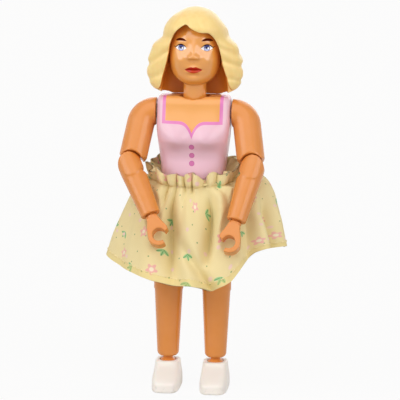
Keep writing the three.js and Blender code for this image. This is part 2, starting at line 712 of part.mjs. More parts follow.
// Hand: a C-shaped grip on a wrist peg, drawn about the grip's centre with the mouth towards +X.
function hand() {
  const outside = GRIP_RADIUS + GRIP_WALL;
  const shape = new THREE.Shape();
  shape.absarc(0, 0, outside, GRIP_MOUTH_TOP, 2 * Math.PI + GRIP_MOUTH_BOTTOM);
  shape.absarc(0, 0, GRIP_RADIUS, 2 * Math.PI + GRIP_MOUTH_BOTTOM, GRIP_MOUTH_TOP, true);
  const grip = solid(plate(shape, -GRIP_HALF_WIDTH, GRIP_HALF_WIDTH, HAND_EDGE));
  const palmRing = (z, halfWidth, depth, x) => {
    return ring(z, { halfWidth, front: depth, back: depth, x }, LIMB_SIDES);
  };
  const wristTop = GRIP_DROP - GAP;
  const palmWidth = outside * PALM_WIDTH_SHARE;
  const neckWidth = WRIST_RADIUS * PALM_NECK_SHARE;
  const topWidth = WRIST_RADIUS * HAND_TOP_SHARE;
  const palm = solid(loft([
    palmRing(0, palmWidth, GRIP_HALF_WIDTH * PALM_WIDTH_SHARE, -GRIP_WALL / 2),
    palmRing(outside * PALM_TOP_SHARE, palmWidth, GRIP_HALF_WIDTH, 0),
    palmRing(lerp(outside, wristTop, PALM_NECK_HEIGHT), neckWidth, neckWidth, 0),
    palmRing(wristTop, topWidth, topWidth, 0),
  ]));
  const peg = solid(rod(WRIST_PEG_RADIUS, outside, wristTop + WRIST_PEG_LENGTH));
  const hole = solid(rodY(GRIP_RADIUS, -CUT_REACH, CUT_REACH, LIMB_SIDES));
  const far = 2 * CUT_REACH;
  const mouth = wedge([
    [0, 0],
    [far * Math.cos(GRIP_MOUTH_BOTTOM), far * Math.sin(GRIP_MOUTH_BOTTOM)],
    [far * Math.cos(GRIP_MOUTH_TOP), far * Math.sin(GRIP_MOUTH_TOP)],
  ]);
  return grip.add(palm).add(peg).subtract(hole).subtract(mouth);
}

function arm(side, elbowBend) {
  const name = side < 0 ? "right" : "left";
  const swing = new THREE.Group();
  swing.position.set(side * CHEST_HALF_WIDTH, 0, SHOULDER_Z);
  swing.rotation.x = -ARM_SWING;
  const upper = new THREE.Group();
  upper.rotation.z = side < 0 ? 0 : Math.PI;
  const elbow = new THREE.Group();
  elbow.position.set(ELBOW_X, 0, ELBOW_Z);
  elbow.rotation.y = UPPER_ARM_TILT - elbowBend;
  const grip = new THREE.Group();
  grip.position.z = -FOREARM_LENGTH - GRIP_DROP;
  const pinSide = -side;
  grip.add(piece(`${name}_hand`, hand(), SKIN));
  elbow.add(piece(`${name}_forearm`, forearm(pinSide), SKIN), grip);
  elbow.add(piece(`${name}_elbow_pin`, hingePin(ELBOW_HALF_WIDTH, pinSide), PIN));
  upper.add(piece(`${name}_upper_arm`, upperArm(), SKIN), elbow);
  upper.add(piece(`${name}_shoulder_pin`, shoulderPin(), PIN));
  swing.add(upper);
  return swing;
}

// Legs, drawn about the hip axis with the knee bending towards +X, then turned so that +X is the back.

function thigh() {
  const stations = [
    { x: 0, z: 0, heading: 0, radius: HIP_RADIUS - GAP / 2 },
    { x: 0, z: -THIGH_LENGTH, heading: 0, radius: THIGH_END_RADIUS },
    { x: 0, z: -THIGH_LENGTH - THIGH_END_RADIUS, heading: 0, radius: THIGH_END_RADIUS },
  ];
  const knee = new THREE.Matrix4().makeTranslation(0, 0, -THIGH_LENGTH).elements;
  const pinHole = rodY(HIP_PIN_RADIUS + PIN_GAP, -CUT_REACH, CUT_REACH);
  return solid(limb(stations))
    .add(solid(rodY(HIP_RADIUS, -HIP_HALF_WIDTH, HIP_HALF_WIDTH, LIMB_SIDES)))
    .subtract(upperEndCut(KNEE_KNUCKLE_RADIUS).transform(knee))
    .add(tongue(KNEE_KNUCKLE_RADIUS).transform(knee))
    .subtract(solid(pinHole).intersect(solid(thighPinRoom())));
}

// Where the hip pin may enter the thigh: from its inner side, to the pin's blind end.
function thighPinRoom() {
  const depth = HIP_PIN_WALL + HIP_PIN_LENGTH + PIN_GAP - LEG_SPREAD;
  const box = new THREE.BoxGeometry(CUT_REACH, CUT_REACH, CUT_REACH);
  return box.translate(0, CUT_REACH / 2 - depth, 0);
}

function shin() {
  const end = -SHIN_LENGTH - SHIN_END_DROP;
  const stations = [
    { x: 0, z: 0, heading: 0, radius: SHIN_TOP_RADIUS },
    { x: 0, z: -KNEE_KNUCKLE_RADIUS, heading: 0, radius: SHIN_TOP_RADIUS },
  ];
  for (const turn of [0, ...EDGE_TURNS]) {
    stations.push({
      x: 0,
      z: end + SHIN_END_ROUND * (1 - Math.sin(turn)),
      heading: 0,
      radius: SHIN_END_RADIUS - SHIN_END_ROUND * (1 - Math.cos(turn)),
    });
  }
  const room = new THREE.SphereGeometry(BALL_RADIUS + PIN_GAP, PIN_SIDES, PIN_SIDES / 2);
  const ball = room.rotateX(Math.PI / 2);
  const mouth = turned([
    [0, -SHIN_END_DROP - GAP],
    [BALL_RADIUS + GAP, -SHIN_END_DROP - GAP],
    [ANKLE_NECK_RADIUS, -BALL_RADIUS / 3],
    [0, -BALL_RADIUS / 3],
  ], LIMB_SIDES);
  return knuckled(solid(limb(stations)), KNEE_KNUCKLE_RADIUS, KNEE_HALF_WIDTH, -1)
    .subtract(solid(moved(ball, 0, 0, -SHIN_LENGTH)))
    .subtract(solid(moved(mouth, 0, 0, -SHIN_LENGTH)));
}

// Ankle stud, about its ball: the ball, a narrow neck, the flare in the shoe's mouth and a peg.
function ankleStud() {
  const neckTurn = Math.asin(ANKLE_NECK_RADIUS / BALL_RADIUS);
  const steps = 5;
  const profile = [
    [0, -ANKLE_FLARE_DROP - SHOE_PEG_LENGTH],
    [SHOE_PEG_RADIUS, -ANKLE_FLARE_DROP - SHOE_PEG_LENGTH],
    [SHOE_PEG_RADIUS, -ANKLE_FLARE_DROP],
    [ANKLE_FLARE_RADIUS, -ANKLE_FLARE_DROP],
  ];
  for (let step = 0; step < steps; step += 1) {
    const turn = lerp(neckTurn, Math.PI, step / steps);
    profile.push([BALL_RADIUS * Math.sin(turn), -BALL_RADIUS * Math.cos(turn)]);
  }
  profile.push([0, BALL_RADIUS]);
  return solid(turned(profile));
}

// Shoe, about the ankle ball's foot point on the floor.
function shoe() {
  const shares = [0, 0.06, 0.3, 0.5, 0.68, 0.85, 1];
  const rings = shares.map((share) => {
    const closing = smoothstep(share, SHOE_CLOSING_START, 1);
    const sole = share === 0 ? SOLE_INSET : 0;
    return ring(SHOE_HEIGHT * share, {
      halfWidth: lerp(SHOE_HALF_WIDTH, SHOE_MOUTH_HALF_WIDTH, closing) - sole,
      front: lerp(SHOE_TOE, SHOE_MOUTH_HALF_WIDTH, closing ** SHOE_INSTEP_POWER) - sole,
      back: lerp(SHOE_HEEL, SHOE_MOUTH_HALF_WIDTH, closing) - sole,
      squareness: SHOE_SQUARENESS,
    }, HEAD_SIDES);
  });
  const seat = ANKLE_HEIGHT - ANKLE_FLARE_DROP;
  const mouth = turned([
    [0, seat - SHOE_PEG_LENGTH - GAP],
    [SHOE_PEG_RADIUS + PIN_GAP, seat - SHOE_PEG_LENGTH - GAP],
    [SHOE_PEG_RADIUS + PIN_GAP, seat - GAP],
    [ANKLE_FLARE_RADIUS + GAP, seat - GAP],
    [ANKLE_FLARE_RADIUS + GAP, SHOE_HEIGHT + GAP],
    [0, SHOE_HEIGHT + GAP],
  ], LIMB_SIDES);
  return solid(loft(rings)).subtract(solid(mouth));
}

function leg(side) {
  const name = side < 0 ? "right" : "left";
  const hip = new THREE.Group();
  hip.position.set(side * LEG_SPREAD, 0, HIP_Z);
  const upper = new THREE.Group();
  upper.rotation.z = Math.PI / 2;
  const knee = new THREE.Group();
  knee.position.z = -THIGH_LENGTH;
  const ankle = new THREE.Group();
  ankle.position.z = -THIGH_LENGTH - SHIN_LENGTH;
  const thighBody = side > 0 ? thigh() : thigh().mirror([0, 1, 0]);
  const pin = rodX(HIP_PIN_RADIUS, HIP_PIN_WALL, HIP_PIN_WALL + HIP_PIN_LENGTH);
  const hipPin = moved(pin.translate(-LEG_SPREAD, 0, 0), 0, 0, 0, 0, 0, side > 0 ? 0 : Math.PI);
  const footprint = moved(geometryOf(shoe()), 0, 0, -ANKLE_HEIGHT);
  upper.add(piece(`${name}_thigh`, thighBody, SKIN), knee);
  knee.add(piece(`${name}_shin`, shin(), SKIN));
  knee.add(piece(`${name}_knee_pin`, hingePin(KNEE_HALF_WIDTH, -1), PIN));
  ankle.add(piece(`${name}_ankle_stud`, ankleStud(), SKIN));
  ankle.add(piece(`${name}_shoe`, solid(footprint), WHITE));
  hip.add(upper, ankle, piece(`${name}_hip_pin`, solid(hipPin), PIN));
  return hip;
}

// Skirt: a bell of cloth from a gathered waist, dented where the forearms and hands rest.

const WAIST_LINE_Z = WAIST_Z + WAIST_LINE_RISE;
const CLOTH_OFFSET = GAP + ELASTIC_THICKNESS + GAP + CLOTH_THICKNESS;

// Height of the gathered line: lower in front than behind.
const waistLine = (turn) => WAIST_LINE_Z + WAIST_LINE_TILT * Math.sin(turn);

function waistPoint(turn, offset) {
  const section = torsoSection(waistLine(turn), -offset);
  const across = Math.sign(Math.cos(turn)) * Math.abs(Math.cos(turn)) ** (2 / TORSO_SQUARENESS);
  const along = Math.sign(Math.sin(turn)) * Math.abs(Math.sin(turn)) ** (2 / TORSO_SQUARENESS);
  const depth = along < 0 ? section.front : section.back;
  return new THREE.Vector3(section.halfWidth * across, depth * along, waistLine(turn));
}

// How far the cloth drops to its hem: the front panel hangs lowest, and ends in a deep fold on the left.
function hemDrop(across, along) {
  const side = lerp(HEM_RIGHT_DROP, HEM_LEFT_DROP, (1 + across) / 2);
  if (along > 0) {
    return lerp(side, HEM_BACK_DROP, along * along);
  }
  const panel = across > 0 ? 1 - smoothstep(across, FRONT_PANEL_START, FRONT_PANEL_END) : along * along;
  return lerp(side, HEM_FRONT_DROP, panel);
}

function hemPoint(turn) {
  const [across, along] = [Math.cos(turn), Math.sin(turn)];
  return new THREE.Vector3(
    HEM_SIDE_SWAY + HEM_HALF_WIDTH * across,
    (along < 0 ? HEM_FRONT : HEM_BACK) * along,
    waistLine(turn) - hemDrop(across, along),
  );
}

// How far folds move the cloth out, at the hem.
function foldOut(turn) {
  const behind = smoothstep(Math.sin(turn), BACK_FOLD_START, BACK_FOLD_FULL);
  let out = BACK_FOLD_DEPTH * behind * Math.cos(BACK_FOLD_COUNT * turn);
  for (const fold of FRONT_FOLDS) {
    const aside = turn - degToRad(fold.at);
    const away = Math.atan2(Math.sin(aside), Math.cos(aside)) / degToRad(fold.width);
    out += fold.out * Math.exp(-away * away);
  }
  return out;
}

// The line from the elbow to the grip of a resting arm, with the radius that the cloth keeps from it.
function armLine(side, elbowBend) {
  const inward = elbowBend - UPPER_ARM_TILT;
  const reach = FOREARM_LENGTH + GRIP_DROP;
  const place = (drop, out) => new THREE.Vector3(
    side * (CHEST_HALF_WIDTH + out),
    -drop * Math.sin(ARM_SWING),
    SHOULDER_Z - drop * Math.cos(ARM_SWING),
  );
  const start = place(UPPER_ARM_DROP, -ELBOW_X);
  const end = place(UPPER_ARM_DROP + reach * Math.cos(inward), -ELBOW_X - reach * Math.sin(inward));
  return new THREE.Line3(start, end);
}

const ARM_LINES = [armLine(-1, RIGHT_ELBOW_BEND), armLine(1, LEFT_ELBOW_BEND)];
const DENT_RADIUS = GRIP_RADIUS + GRIP_WALL + HAND_DENT_MARGIN;

// Push a point of the cloth back until it lies clear behind both resting arms.
function behindArms(point) {
  for (const line of ARM_LINES) {
    const nearest = line.closestPointToPoint(point, true, new THREE.Vector3());
    const aside = Math.hypot(point.x - nearest.x, point.z - nearest.z);
    if (aside < DENT_RADIUS) {
      point.y = Math.max(point.y, nearest.y + Math.sqrt(DENT_RADIUS ** 2 - aside ** 2));
    }
  }
  return point;
}

// A point of the cloth; drop 0 is the gathered line, 1 the hem, and the ruffle lies above 0.
function clothPoint(turn, drop) {
  const waist = waistPoint(turn, CLOTH_OFFSET);
  if (drop <= 0) {
    const flare = 1 + (RUFFLE_FLARE / WAIST_HALF_WIDTH) * -drop;
    return new THREE.Vector3(waist.x * flare, waist.y * flare, waist.z - RUFFLE_HEIGHT * drop);
  }
  const hem = hemPoint(turn);
  const out = drop ** (BELL_POWER - BELL_SWAY * Math.max(0, Math.cos(turn)) ** 2);
  const fold = drop * foldOut(turn);
  const point = new THREE.Vector3(
    lerp(waist.x, hem.x, out) + fold * Math.cos(turn),
    lerp(waist.y, hem.y, out) + fold * Math.sin(turn),
    lerp(waist.z, hem.z, drop),
  );
  return behindArms(point);
}

function thinned(point) {
  const flat = Math.hypot(point.x, point.y);
  const share = (flat - CLOTH_THICKNESS) / flat;
  return new THREE.Vector3(point.x * share, point.y * share, point.z);
}

// Rings that run down the outside and back up the inside, closed on themselves.
function closedSleeve(rings) {
  const count = rings[0].length;
  const index = [];
  for (let row = 0; row < rings.length; row += 1) {
    const below = ((row + 1) % rings.length) * count;
    for (let i = 0; i < count; i += 1) {
      const a = row * count + i;
      const b = row * count + ((i + 1) % count);
      const c = below + i;
      const d = below + ((i + 1) % count);
      index.push(a, d, b, a, c, d);
    }
  }
  const geometry = new THREE.BufferGeometry().setFromPoints(rings.flat());
  geometry.setIndex(index);
  return geometry;
}

function skirt() {
  const turns = Array.from({ length: SKIRT_SIDES }, (_, i) => (2 * Math.PI * i) / SKIRT_SIDES);
  const drops = [-1];
  for (let row = 0; row <= SKIRT_ROWS; row += 1) {
    drops.push((row / SKIRT_ROWS) ** SKIRT_ROW_POWER);
  }
  const outside = drops.map((drop) => turns.map((turn) => clothPoint(turn, drop)));
  const inside = outside.map((points) => points.map(thinned)).reverse();
  return piece("skirt", solid(closedSleeve([...outside, ...inside])), CLOTH);
}

function waistElastic() {
  const turns = Array.from({ length: SKIRT_SIDES }, (_, i) => (2 * Math.PI * i) / SKIRT_SIDES);
  const band = (offset, rise) => turns.map((turn) => {
    const point = waistPoint(turn, offset);
    point.z += rise;
    return point;
  });
  const inner = GAP;
  const outer = GAP + ELASTIC_THICKNESS;
  const rings = [
    band(outer, ELASTIC_HALF_HEIGHT),
    band(outer, -ELASTIC_HALF_HEIGHT),
    band(inner, -ELASTIC_HALF_HEIGHT),
    band(inner, ELASTIC_HALF_HEIGHT),
  ];
  return piece("waist_elastic", solid(closedSleeve(rings)), ELASTIC);
}

// The doll, with the middle of its box's base at the origin.
const doll = new THREE.Group();
doll.add(...torsoShells(), pelvis(), head(), hair());
doll.add(arm(-1, RIGHT_ELBOW_BEND), arm(1, LEFT_ELBOW_BEND), leg(-1), leg(1));
doll.add(skirt(), waistElastic());
doll.updateMatrixWorld(true);
const middle = new THREE.Box3().setFromObject(doll, true).getCenter(new THREE.Vector3());
doll.position.set(-middle.x, -middle.y, 0);
doll.updateMatrixWorld(true);

export default doll;
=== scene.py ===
# Articulated mini doll: the finished surfaces of its moulded and sewn pieces, placed round the solids.
import json
import math

import bpy
import numpy as np
from mathutils import Matrix, Vector


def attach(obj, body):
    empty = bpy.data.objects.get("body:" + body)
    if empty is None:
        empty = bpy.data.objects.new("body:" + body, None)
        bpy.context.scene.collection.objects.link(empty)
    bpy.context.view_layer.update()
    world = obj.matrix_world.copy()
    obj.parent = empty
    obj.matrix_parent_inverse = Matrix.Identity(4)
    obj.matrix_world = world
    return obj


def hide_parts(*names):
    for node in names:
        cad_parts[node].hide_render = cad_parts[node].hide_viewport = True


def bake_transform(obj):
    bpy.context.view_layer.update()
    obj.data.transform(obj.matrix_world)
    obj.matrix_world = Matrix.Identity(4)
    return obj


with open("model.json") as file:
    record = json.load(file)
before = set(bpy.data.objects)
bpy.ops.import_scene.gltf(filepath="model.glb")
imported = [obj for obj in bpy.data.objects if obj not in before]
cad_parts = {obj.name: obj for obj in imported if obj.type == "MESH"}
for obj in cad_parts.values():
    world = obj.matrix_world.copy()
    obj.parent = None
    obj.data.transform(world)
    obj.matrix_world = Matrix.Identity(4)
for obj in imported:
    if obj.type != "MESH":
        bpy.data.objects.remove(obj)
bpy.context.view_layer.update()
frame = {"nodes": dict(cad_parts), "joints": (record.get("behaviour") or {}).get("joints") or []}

# Millimetres in the doll's own frame: x = 0 and y = 0 on the neck's axis, -Y in front, z = 0 on the floor.
MM = 0.001
JOINTS = {joint["name"]: joint for joint in frame["joints"]}
NECK = JOINTS["neck_turn"]["pos_m"]
DOLL = Matrix.Translation((NECK[0], NECK[1], 0)) @ Matrix.Scale(MM, 4)
RIGHT, LEFT = -1, 1
NAMES = {RIGHT: "right", LEFT: "left"}
QUARTER_TURN, FULL_TURN = math.pi / 2, 2 * math.pi


def blend_between(low, high, value):
    """0 below low and 1 above high, with a smooth rise between."""
    share = np.clip((value - low) / (high - low), 0, 1)
    return share * share * (3 - 2 * share)


def mixed(first, second, share):
    return first + (second - first) * share


def hill(value, middle, width):
    return np.exp(-((value - middle) / width) ** 2)


def rounded_edge(share):
    """How far a quarter-round edge has drawn in: 0 where it starts, at 0 and before, and 1 at its end, at 1."""
    return 1 - math.sqrt(max(0.0, 1 - max(0.0, share) ** 2))


def curve_through(knots, value):
    """A smooth line through knots of (place, amount) that doesn't swing past them."""
    places, amounts = np.array(knots, float).T
    steps = np.diff(amounts) / np.diff(places)
    slopes = np.zeros(len(places))
    same_way = steps[:-1] * steps[1:] > 0
    slopes[1:-1] = np.where(same_way, 2 * steps[:-1] * steps[1:] / (steps[:-1] + steps[1:] + 1e-12), 0)
    slopes[0], slopes[-1] = steps[0], steps[-1]
    value = np.clip(value, places[0], places[-1])
    spot = np.clip(np.searchsorted(places, value, side="right") - 1, 0, len(steps) - 1)
    span = places[spot + 1] - places[spot]
    t = (value - places[spot]) / span
    rise = (1 + 2 * t) * (1 - t) ** 2 * amounts[spot] + t * t * (3 - 2 * t) * amounts[spot + 1]
    return rise + span * (t * (1 - t) ** 2 * slopes[spot] - t * t * (1 - t) * slopes[spot + 1])


def squarish(value, squareness):
    """A sine or cosine drawn out so that the ring made of it is squarer; 2 leaves it round."""
    return np.sign(value) * np.abs(value) ** (2 / squareness)


def walked(x, y):
    """The distance walked along a line up to each of its points."""
    return np.concatenate([[0], np.cumsum(np.hypot(np.diff(x), np.diff(y)))])


# Meshes


def placed(name, data):
    made = bpy.data.objects.new(name, data)
    bpy.context.scene.collection.objects.link(made)
    return made


def new_piece(name, points, faces):
    mesh = bpy.data.meshes.new(name)
    mesh.from_pydata(np.asarray(points, float).tolist(), [], faces)
    return placed(name, mesh)


def used_up(piece):
    mesh = piece.data
    bpy.data.objects.remove(piece)
    bpy.data.meshes.remove(mesh)


def grid_faces(rows, columns, closed):
    faces = []
    for row in range(rows - 1):
        for column in range(columns if closed else columns - 1):
            after = (column + 1) % columns
            low, high = row * columns, (row + 1) * columns
            faces.append((low + column, low + after, high + after, high + column))
    return faces


def flipped(faces):
    return [tuple(reversed(face)) for face in faces]


def capped_faces(rows, columns):
    """Faces of a skin over rings, with its two ends."""
    ends = [tuple(reversed(range(columns))), tuple(range((rows - 1) * columns, rows * columns))]
    return grid_faces(rows, columns, closed=True) + ends


def loft(name, rings):
    """A closed skin over rings of equally many points, from the lowest to the highest."""
    return new_piece(name, np.concatenate(rings), capped_faces(len(rings), len(rings[0])))


def oval(z, half_width, front, back, squareness=2.0, sides=120):
    """A level ring, round or squarish, with its points evenly spaced."""
    turn = np.linspace(0, FULL_TURN, 1441)
    along = squarish(np.sin(turn), squareness)
    x = half_width * squarish(np.cos(turn), squareness)
    y = np.where(along < 0, front, back) * along
    distance = walked(x, y)
    even = np.linspace(0, distance[-1], sides, endpoint=False)
    return np.stack([np.interp(even, distance, x), np.interp(even, distance, y), np.full(sides, z)], axis=1)


def tube(name, stations, sides=72):
    """A round limb in the XZ plane over stations of (x, z, rise, radius), from its low end to its high
    end; rise is the limb's direction as an angle from straight up towards +X."""
    turn = np.linspace(0, FULL_TURN, sides, endpoint=False)
    rings = []
    for x, z, rise, radius in stations:
        across = radius * np.cos(turn)
        rings.append(np.stack([x + across * math.cos(rise), radius * np.sin(turn), z - across * math.sin(rise)], 1))
    return loft(name, rings)


def prism(name, outline, low, high):
    """A plate with an outline of (x, z) corners, from y = low to y = high."""
    corners = np.array(outline, float)
    following = np.roll(corners, -1, axis=0)
    if np.sum(corners[:, 0] * following[:, 1] - following[:, 0] * corners[:, 1]) < 0:
        corners = corners[::-1]
    near = np.stack([corners[:, 0], np.full(len(corners), low), corners[:, 1]], 1)
    far = near + np.array([0, high - low, 0])
    count = len(corners)
    faces = [(count + i, count + (i + 1) % count, (i + 1) % count, i) for i in range(count)]
    faces.append(tuple(range(count)))
    faces.append(tuple(reversed(range(count, 2 * count))))
    return new_piece(name, np.concatenate([near, far]), faces)


def arc(radius, start, end, count, z=0.0):
    turns = np.radians(np.linspace(start, end, count))
    return [(radius * math.cos(turn), z + radius * math.sin(turn)) for turn in turns]


def rod(name, radius, low, high):
    """A round bar along Y."""
    return prism(name, arc(radius, 0, 360, 73)[:-1], low, high)


def lathe(name, profile, sides=64):
    """A turned piece about Z over a profile of (radius, z), from its low end to its high end."""
    return loft(name, [oval(z, radius, radius, radius, sides=sides) for radius, z in profile])


def settle(piece):
    """Makes what the modifiers show the piece's own mesh."""
    graph = bpy.context.evaluated_depsgraph_get()
    shown = bpy.data.meshes.new_from_object(piece.evaluated_get(graph))
    bare = piece.data
    piece.modifiers.clear()
    piece.data = shown
    bpy.data.meshes.remove(bare)
    return piece


def shaped(piece, operation, *others):
    """Cuts other pieces out of a piece or joins them to it, and uses them up."""
    for other in others:
        step = piece.modifiers.new(operation, "BOOLEAN")
        step.operation = operation
        step.solver = "EXACT"
        step.object = other
    settle(piece)
    for other in others:
        used_up(other)
    return piece


def cut(piece, *others):
    return shaped(piece, "DIFFERENCE", *others)


def joined(piece, *others):
    return shaped(piece, "UNION", *others)


def turned(piece, matrix):
    piece.data.transform(matrix)
    return piece


def moulded(piece, grain, rounds):
    """Gives a piece the even skin and the softly rounded edges of a moulding."""
    skin = piece.modifiers.new("skin", "REMESH")
    skin.mode = "VOXEL"
    skin.voxel_size = grain
    skin.use_smooth_shade = True
    edges = piece.modifiers.new("edges", "SMOOTH")
    edges.factor = 0.5
    edges.iterations = rounds
    return settle(piece)


def surfaced(piece, place, material):
    piece.data.transform(place)
    piece.data.shade_smooth()
    piece.data.materials.clear()
    piece.data.materials.append(material)
    return piece


def finished(piece, place, body, material, node):
    """Puts a piece in its place in the row frame, on a body, for the solid that it stands for."""
    surfaced(piece, place, material)
    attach(piece, body)
    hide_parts(node)


def skin_limb(piece, place, node):
    finished(piece, place, node, SKIN, node)


# Materials


def screen(red, green, blue):
    """A colour of 0 to 255 screen values as the linear one that shaders take."""
    share = np.array([red, green, blue]) / 255
    linear = np.where(share <= 0.04045, share / 12.92, ((share + 0.055) / 1.055) ** 2.4)
    return (*linear.tolist(), 1.0)


def reckoning(operation):
    return lambda wire, *others: wire.graph.maths(operation, wire, *others)


class Wire:
    """A value in a shader tree; reckoning with it adds the nodes that do so."""

    __add__, __sub__, __mul__, __truediv__, __pow__, __abs__ = map(
        reckoning, ("ADD", "SUBTRACT", "MULTIPLY", "DIVIDE", "POWER", "ABSOLUTE"))

    def __init__(self, graph, socket):
        self.graph, self.socket = graph, socket

    def __rsub__(self, other):
        return self.graph.maths("SUBTRACT", other, self)

    def rise(self, low, high):
        """0 at low and before it, 1 at high and past it; low may be the greater."""
        made = self.graph.node("ShaderNodeMapRange", {"interpolation_type": "SMOOTHSTEP"},
                               Value=self, From_Min=low, From_Max=high)
        return self.graph.wires(made)[0]


class Graph:
    """Short ways to add nodes to a shader tree and to join them."""

    def __init__(self, tree):
        self.tree = tree

    def join(self, socket, value):
        value = getattr(value, "socket", value)
        if isinstance(value, bpy.types.NodeSocket):
            self.tree.links.new(value, socket)
        else:
            socket.default_value = value

    def fill(self, sockets, **values):
        for name, value in values.items():
            self.join(sockets[name.replace("_", " ")], value)

    def node(self, kind, settings=None, **inputs):
        made = self.tree.nodes.new(kind)
        for name, value in (settings or {}).items():
            setattr(made, name, value)
        self.fill(made.inputs, **inputs)
        return made

    def wires(self, node):
        return [Wire(self, socket) for socket in node.outputs]

    def reckoned(self, kind, operation, values):
        made = self.node(kind, {"operation": operation})
        for socket, value in zip(made.inputs, values):
            self.join(socket, value)
        return self.wires(made)

    def maths(self, operation, *values):
        return self.reckoned("ShaderNodeMath", operation, values)[0]

    def vectors(self, operation, *values):
        vector, number = self.reckoned("ShaderNodeVectorMath", operation, values)
        return number if operation in ("LENGTH", "DOT_PRODUCT") else vector

    def least(self, first, second):
        return self.maths("MINIMUM", first, second)

    def most(self, first, second):
        return self.maths("MAXIMUM", first, second)

    def mix(self, share, first, second):
        made = self.node("ShaderNodeMix", {"data_type": "RGBA"})
        for spot, value in ((0, share), (6, first), (7, second)):
            self.join(made.inputs[spot], value)
        return self.wires(made)[2]

    def noise(self, place, scale, detail=2.0):
        return self.wires(self.node("ShaderNodeTexNoise", Vector=place, Scale=scale, Detail=detail))[0]

    def place(self):
        """The place on the piece, in the doll's millimetres."""
        spot = self.node("ShaderNodeTexCoord").outputs["Object"]
        made = self.node("ShaderNodeMapping", Vector=spot, Scale=(1 / MM,) * 3,
                         Location=(-NECK[0] / MM, -NECK[1] / MM, 0))
        return self.wires(made)[0]

    def parts(self, vector):
        return self.wires(self.node("ShaderNodeSeparateXYZ", Vector=vector))

    def vector(self, x, y, z):
        return self.wires(self.node("ShaderNodeCombineXYZ", X=x, Y=y, Z=z))[0]

    def group(self, tree, **inputs):
        made = self.node("ShaderNodeGroup", {"node_tree": tree}, **inputs)
        return dict(zip(made.outputs.keys(), self.wires(made)))


def new_group(name, takes, gives):
    """A shader group: its graph, the values that it takes, in order, and the sockets that it gives, by name."""
    tree = bpy.data.node_groups.new(name, "ShaderNodeTree")
    for way, sockets in (("INPUT", takes), ("OUTPUT", gives)):
        for socket, kind in sockets.items():
            tree.interface.new_socket(socket, in_out=way, socket_type="NodeSocket" + kind)
    graph = Graph(tree)
    values = graph.wires(graph.node("NodeGroupInput"))[:len(takes)]
    return graph, values, graph.node("NodeGroupOutput").inputs


def plastic_group():
    """Faint cloudiness of colour, uneven gloss and fine grain of moulded plastic."""
    graph, (place, colour, mottle, gloss), gives = new_group(
        "moulded_plastic",
        {"Place": "Vector", "Color": "Color", "Mottle": "Float", "Gloss": "Float"},
        {"Color": "Color", "Roughness": "Float", "Height": "Float"},
    )
    cloud, patch = (graph.noise(place, scale) - 0.5 for scale in (0.16, 0.7))
    shift = cloud * mottle
    tint = graph.node("ShaderNodeHueSaturation", Color=colour, Value=shift + 1.0, Saturation=1.0 - shift)
    graph.fill(gives, Color=tint.outputs["Color"], Roughness=gloss + patch * 0.16,
               Height=graph.noise(place, 3.1, detail=3.0))
    return graph.tree


def oval_group():
    """A printed oval: 1 inside, 0 outside, with a soft edge."""
    graph, (place, middle, size), gives = new_group(
        "printed_oval", {"Place": "Vector", "Middle": "Vector", "Size": "Vector"}, {"Mask": "Float"})
    away = graph.vectors("DIVIDE", graph.vectors("SUBTRACT", place, middle), size)
    x, _, z = graph.parts(away)
    span = graph.vectors("LENGTH", graph.vector(x, 0.0, z))
    graph.fill(gives, Mask=span.rise(1.06, 0.94))
    return graph.tree


def stroke_group():
    """A printed arched stroke that tapers to both its ends."""
    graph, (place, middle, reach, arch, thick), gives = new_group(
        "printed_stroke",
        {"Place": "Vector", "Middle": "Vector", "Reach": "Float", "Arch": "Float", "Thick": "Float"},
        {"Mask": "Float"},
    )
    x, _, z = graph.parts(graph.vectors("SUBTRACT", place, middle))
    share = x / reach
    aside = abs(z + share * share * arch)
    half = thick * (1.0 - abs(share) ** 3.0)
    graph.fill(gives, Mask=(half - aside).rise(-0.05, 0.05))
    return graph.tree


def weave_group():
    """Plain weave of crossing threads: their height, and a painted shade that leaves the tops of the threads paler
    than the hollows between them.
    """
    graph, (place, thread), gives = new_group(
        "plain_weave", {"Place": "Vector", "Thread": "Float"}, {"Height": "Float", "Shade": "Float"})
    wobble = graph.node("ShaderNodeTexNoise", Vector=place, Scale=0.9, Detail=2.0).outputs["Color"]
    moved = graph.vectors("ADD", place, graph.vectors("MULTIPLY", wobble, (0.25, 0.25, 0.0)))
    warp, weft = (graph.maths("SINE", way * FULL_TURN / thread) for way in graph.parts(moved)[:2])
    height = warp * weft * 0.5 + 0.5
    graph.fill(gives, Height=height, Shade=height * 0.12 + 0.94)
    return graph.tree


PLASTIC, OVAL, STROKE, WEAVE = plastic_group(), oval_group(), stroke_group(), weave_group()


def new_material(name):
    material = bpy.data.materials.new(name)
    material.use_nodes = True
    return material, Graph(material.node_tree), material.node_tree.nodes["Principled BSDF"].inputs


def plastic(name, colour, gloss, mottle=0.05, soften=0.0, sheen=0.35, print_on=None, clear=0):
    """Moulded plastic. print_on turns the plain colour into the printed one; clear is the index of a lacquer
    that the dark ink stands out of."""
    material, graph, shader = new_material(name)
    place = graph.place()
    printed = print_on(graph, place, colour) if print_on else colour
    look = graph.group(PLASTIC, Place=place, Color=printed, Mottle=mottle, Gloss=gloss)
    bump = graph.node("ShaderNodeBump", Strength=0.35, Distance=0.02 * MM, Height=look["Height"])
    graph.fill(shader, Base_Color=look["Color"], Roughness=look["Roughness"], Normal=bump.outputs["Normal"],
               IOR=1.5, Specular_IOR_Level=sheen)
    if clear:
        tone = graph.wires(graph.node("ShaderNodeRGBToBW", Color=printed))[0]
        graph.fill(shader, Coat_Weight=tone.rise(0.03, 0.32), Coat_Roughness=gloss, Coat_IOR=clear)
    if soften:
        graph.fill(shader, Subsurface_Weight=soften, Subsurface_Radius=(1.0, 0.42, 0.2), Subsurface_Scale=1.2 * MM)
    return material


def in_oval(graph, place, x, z, half_width, half_height):
    return graph.group(OVAL, Place=place, Middle=(x, 0, z), Size=(half_width, 1, half_height))["Mask"]


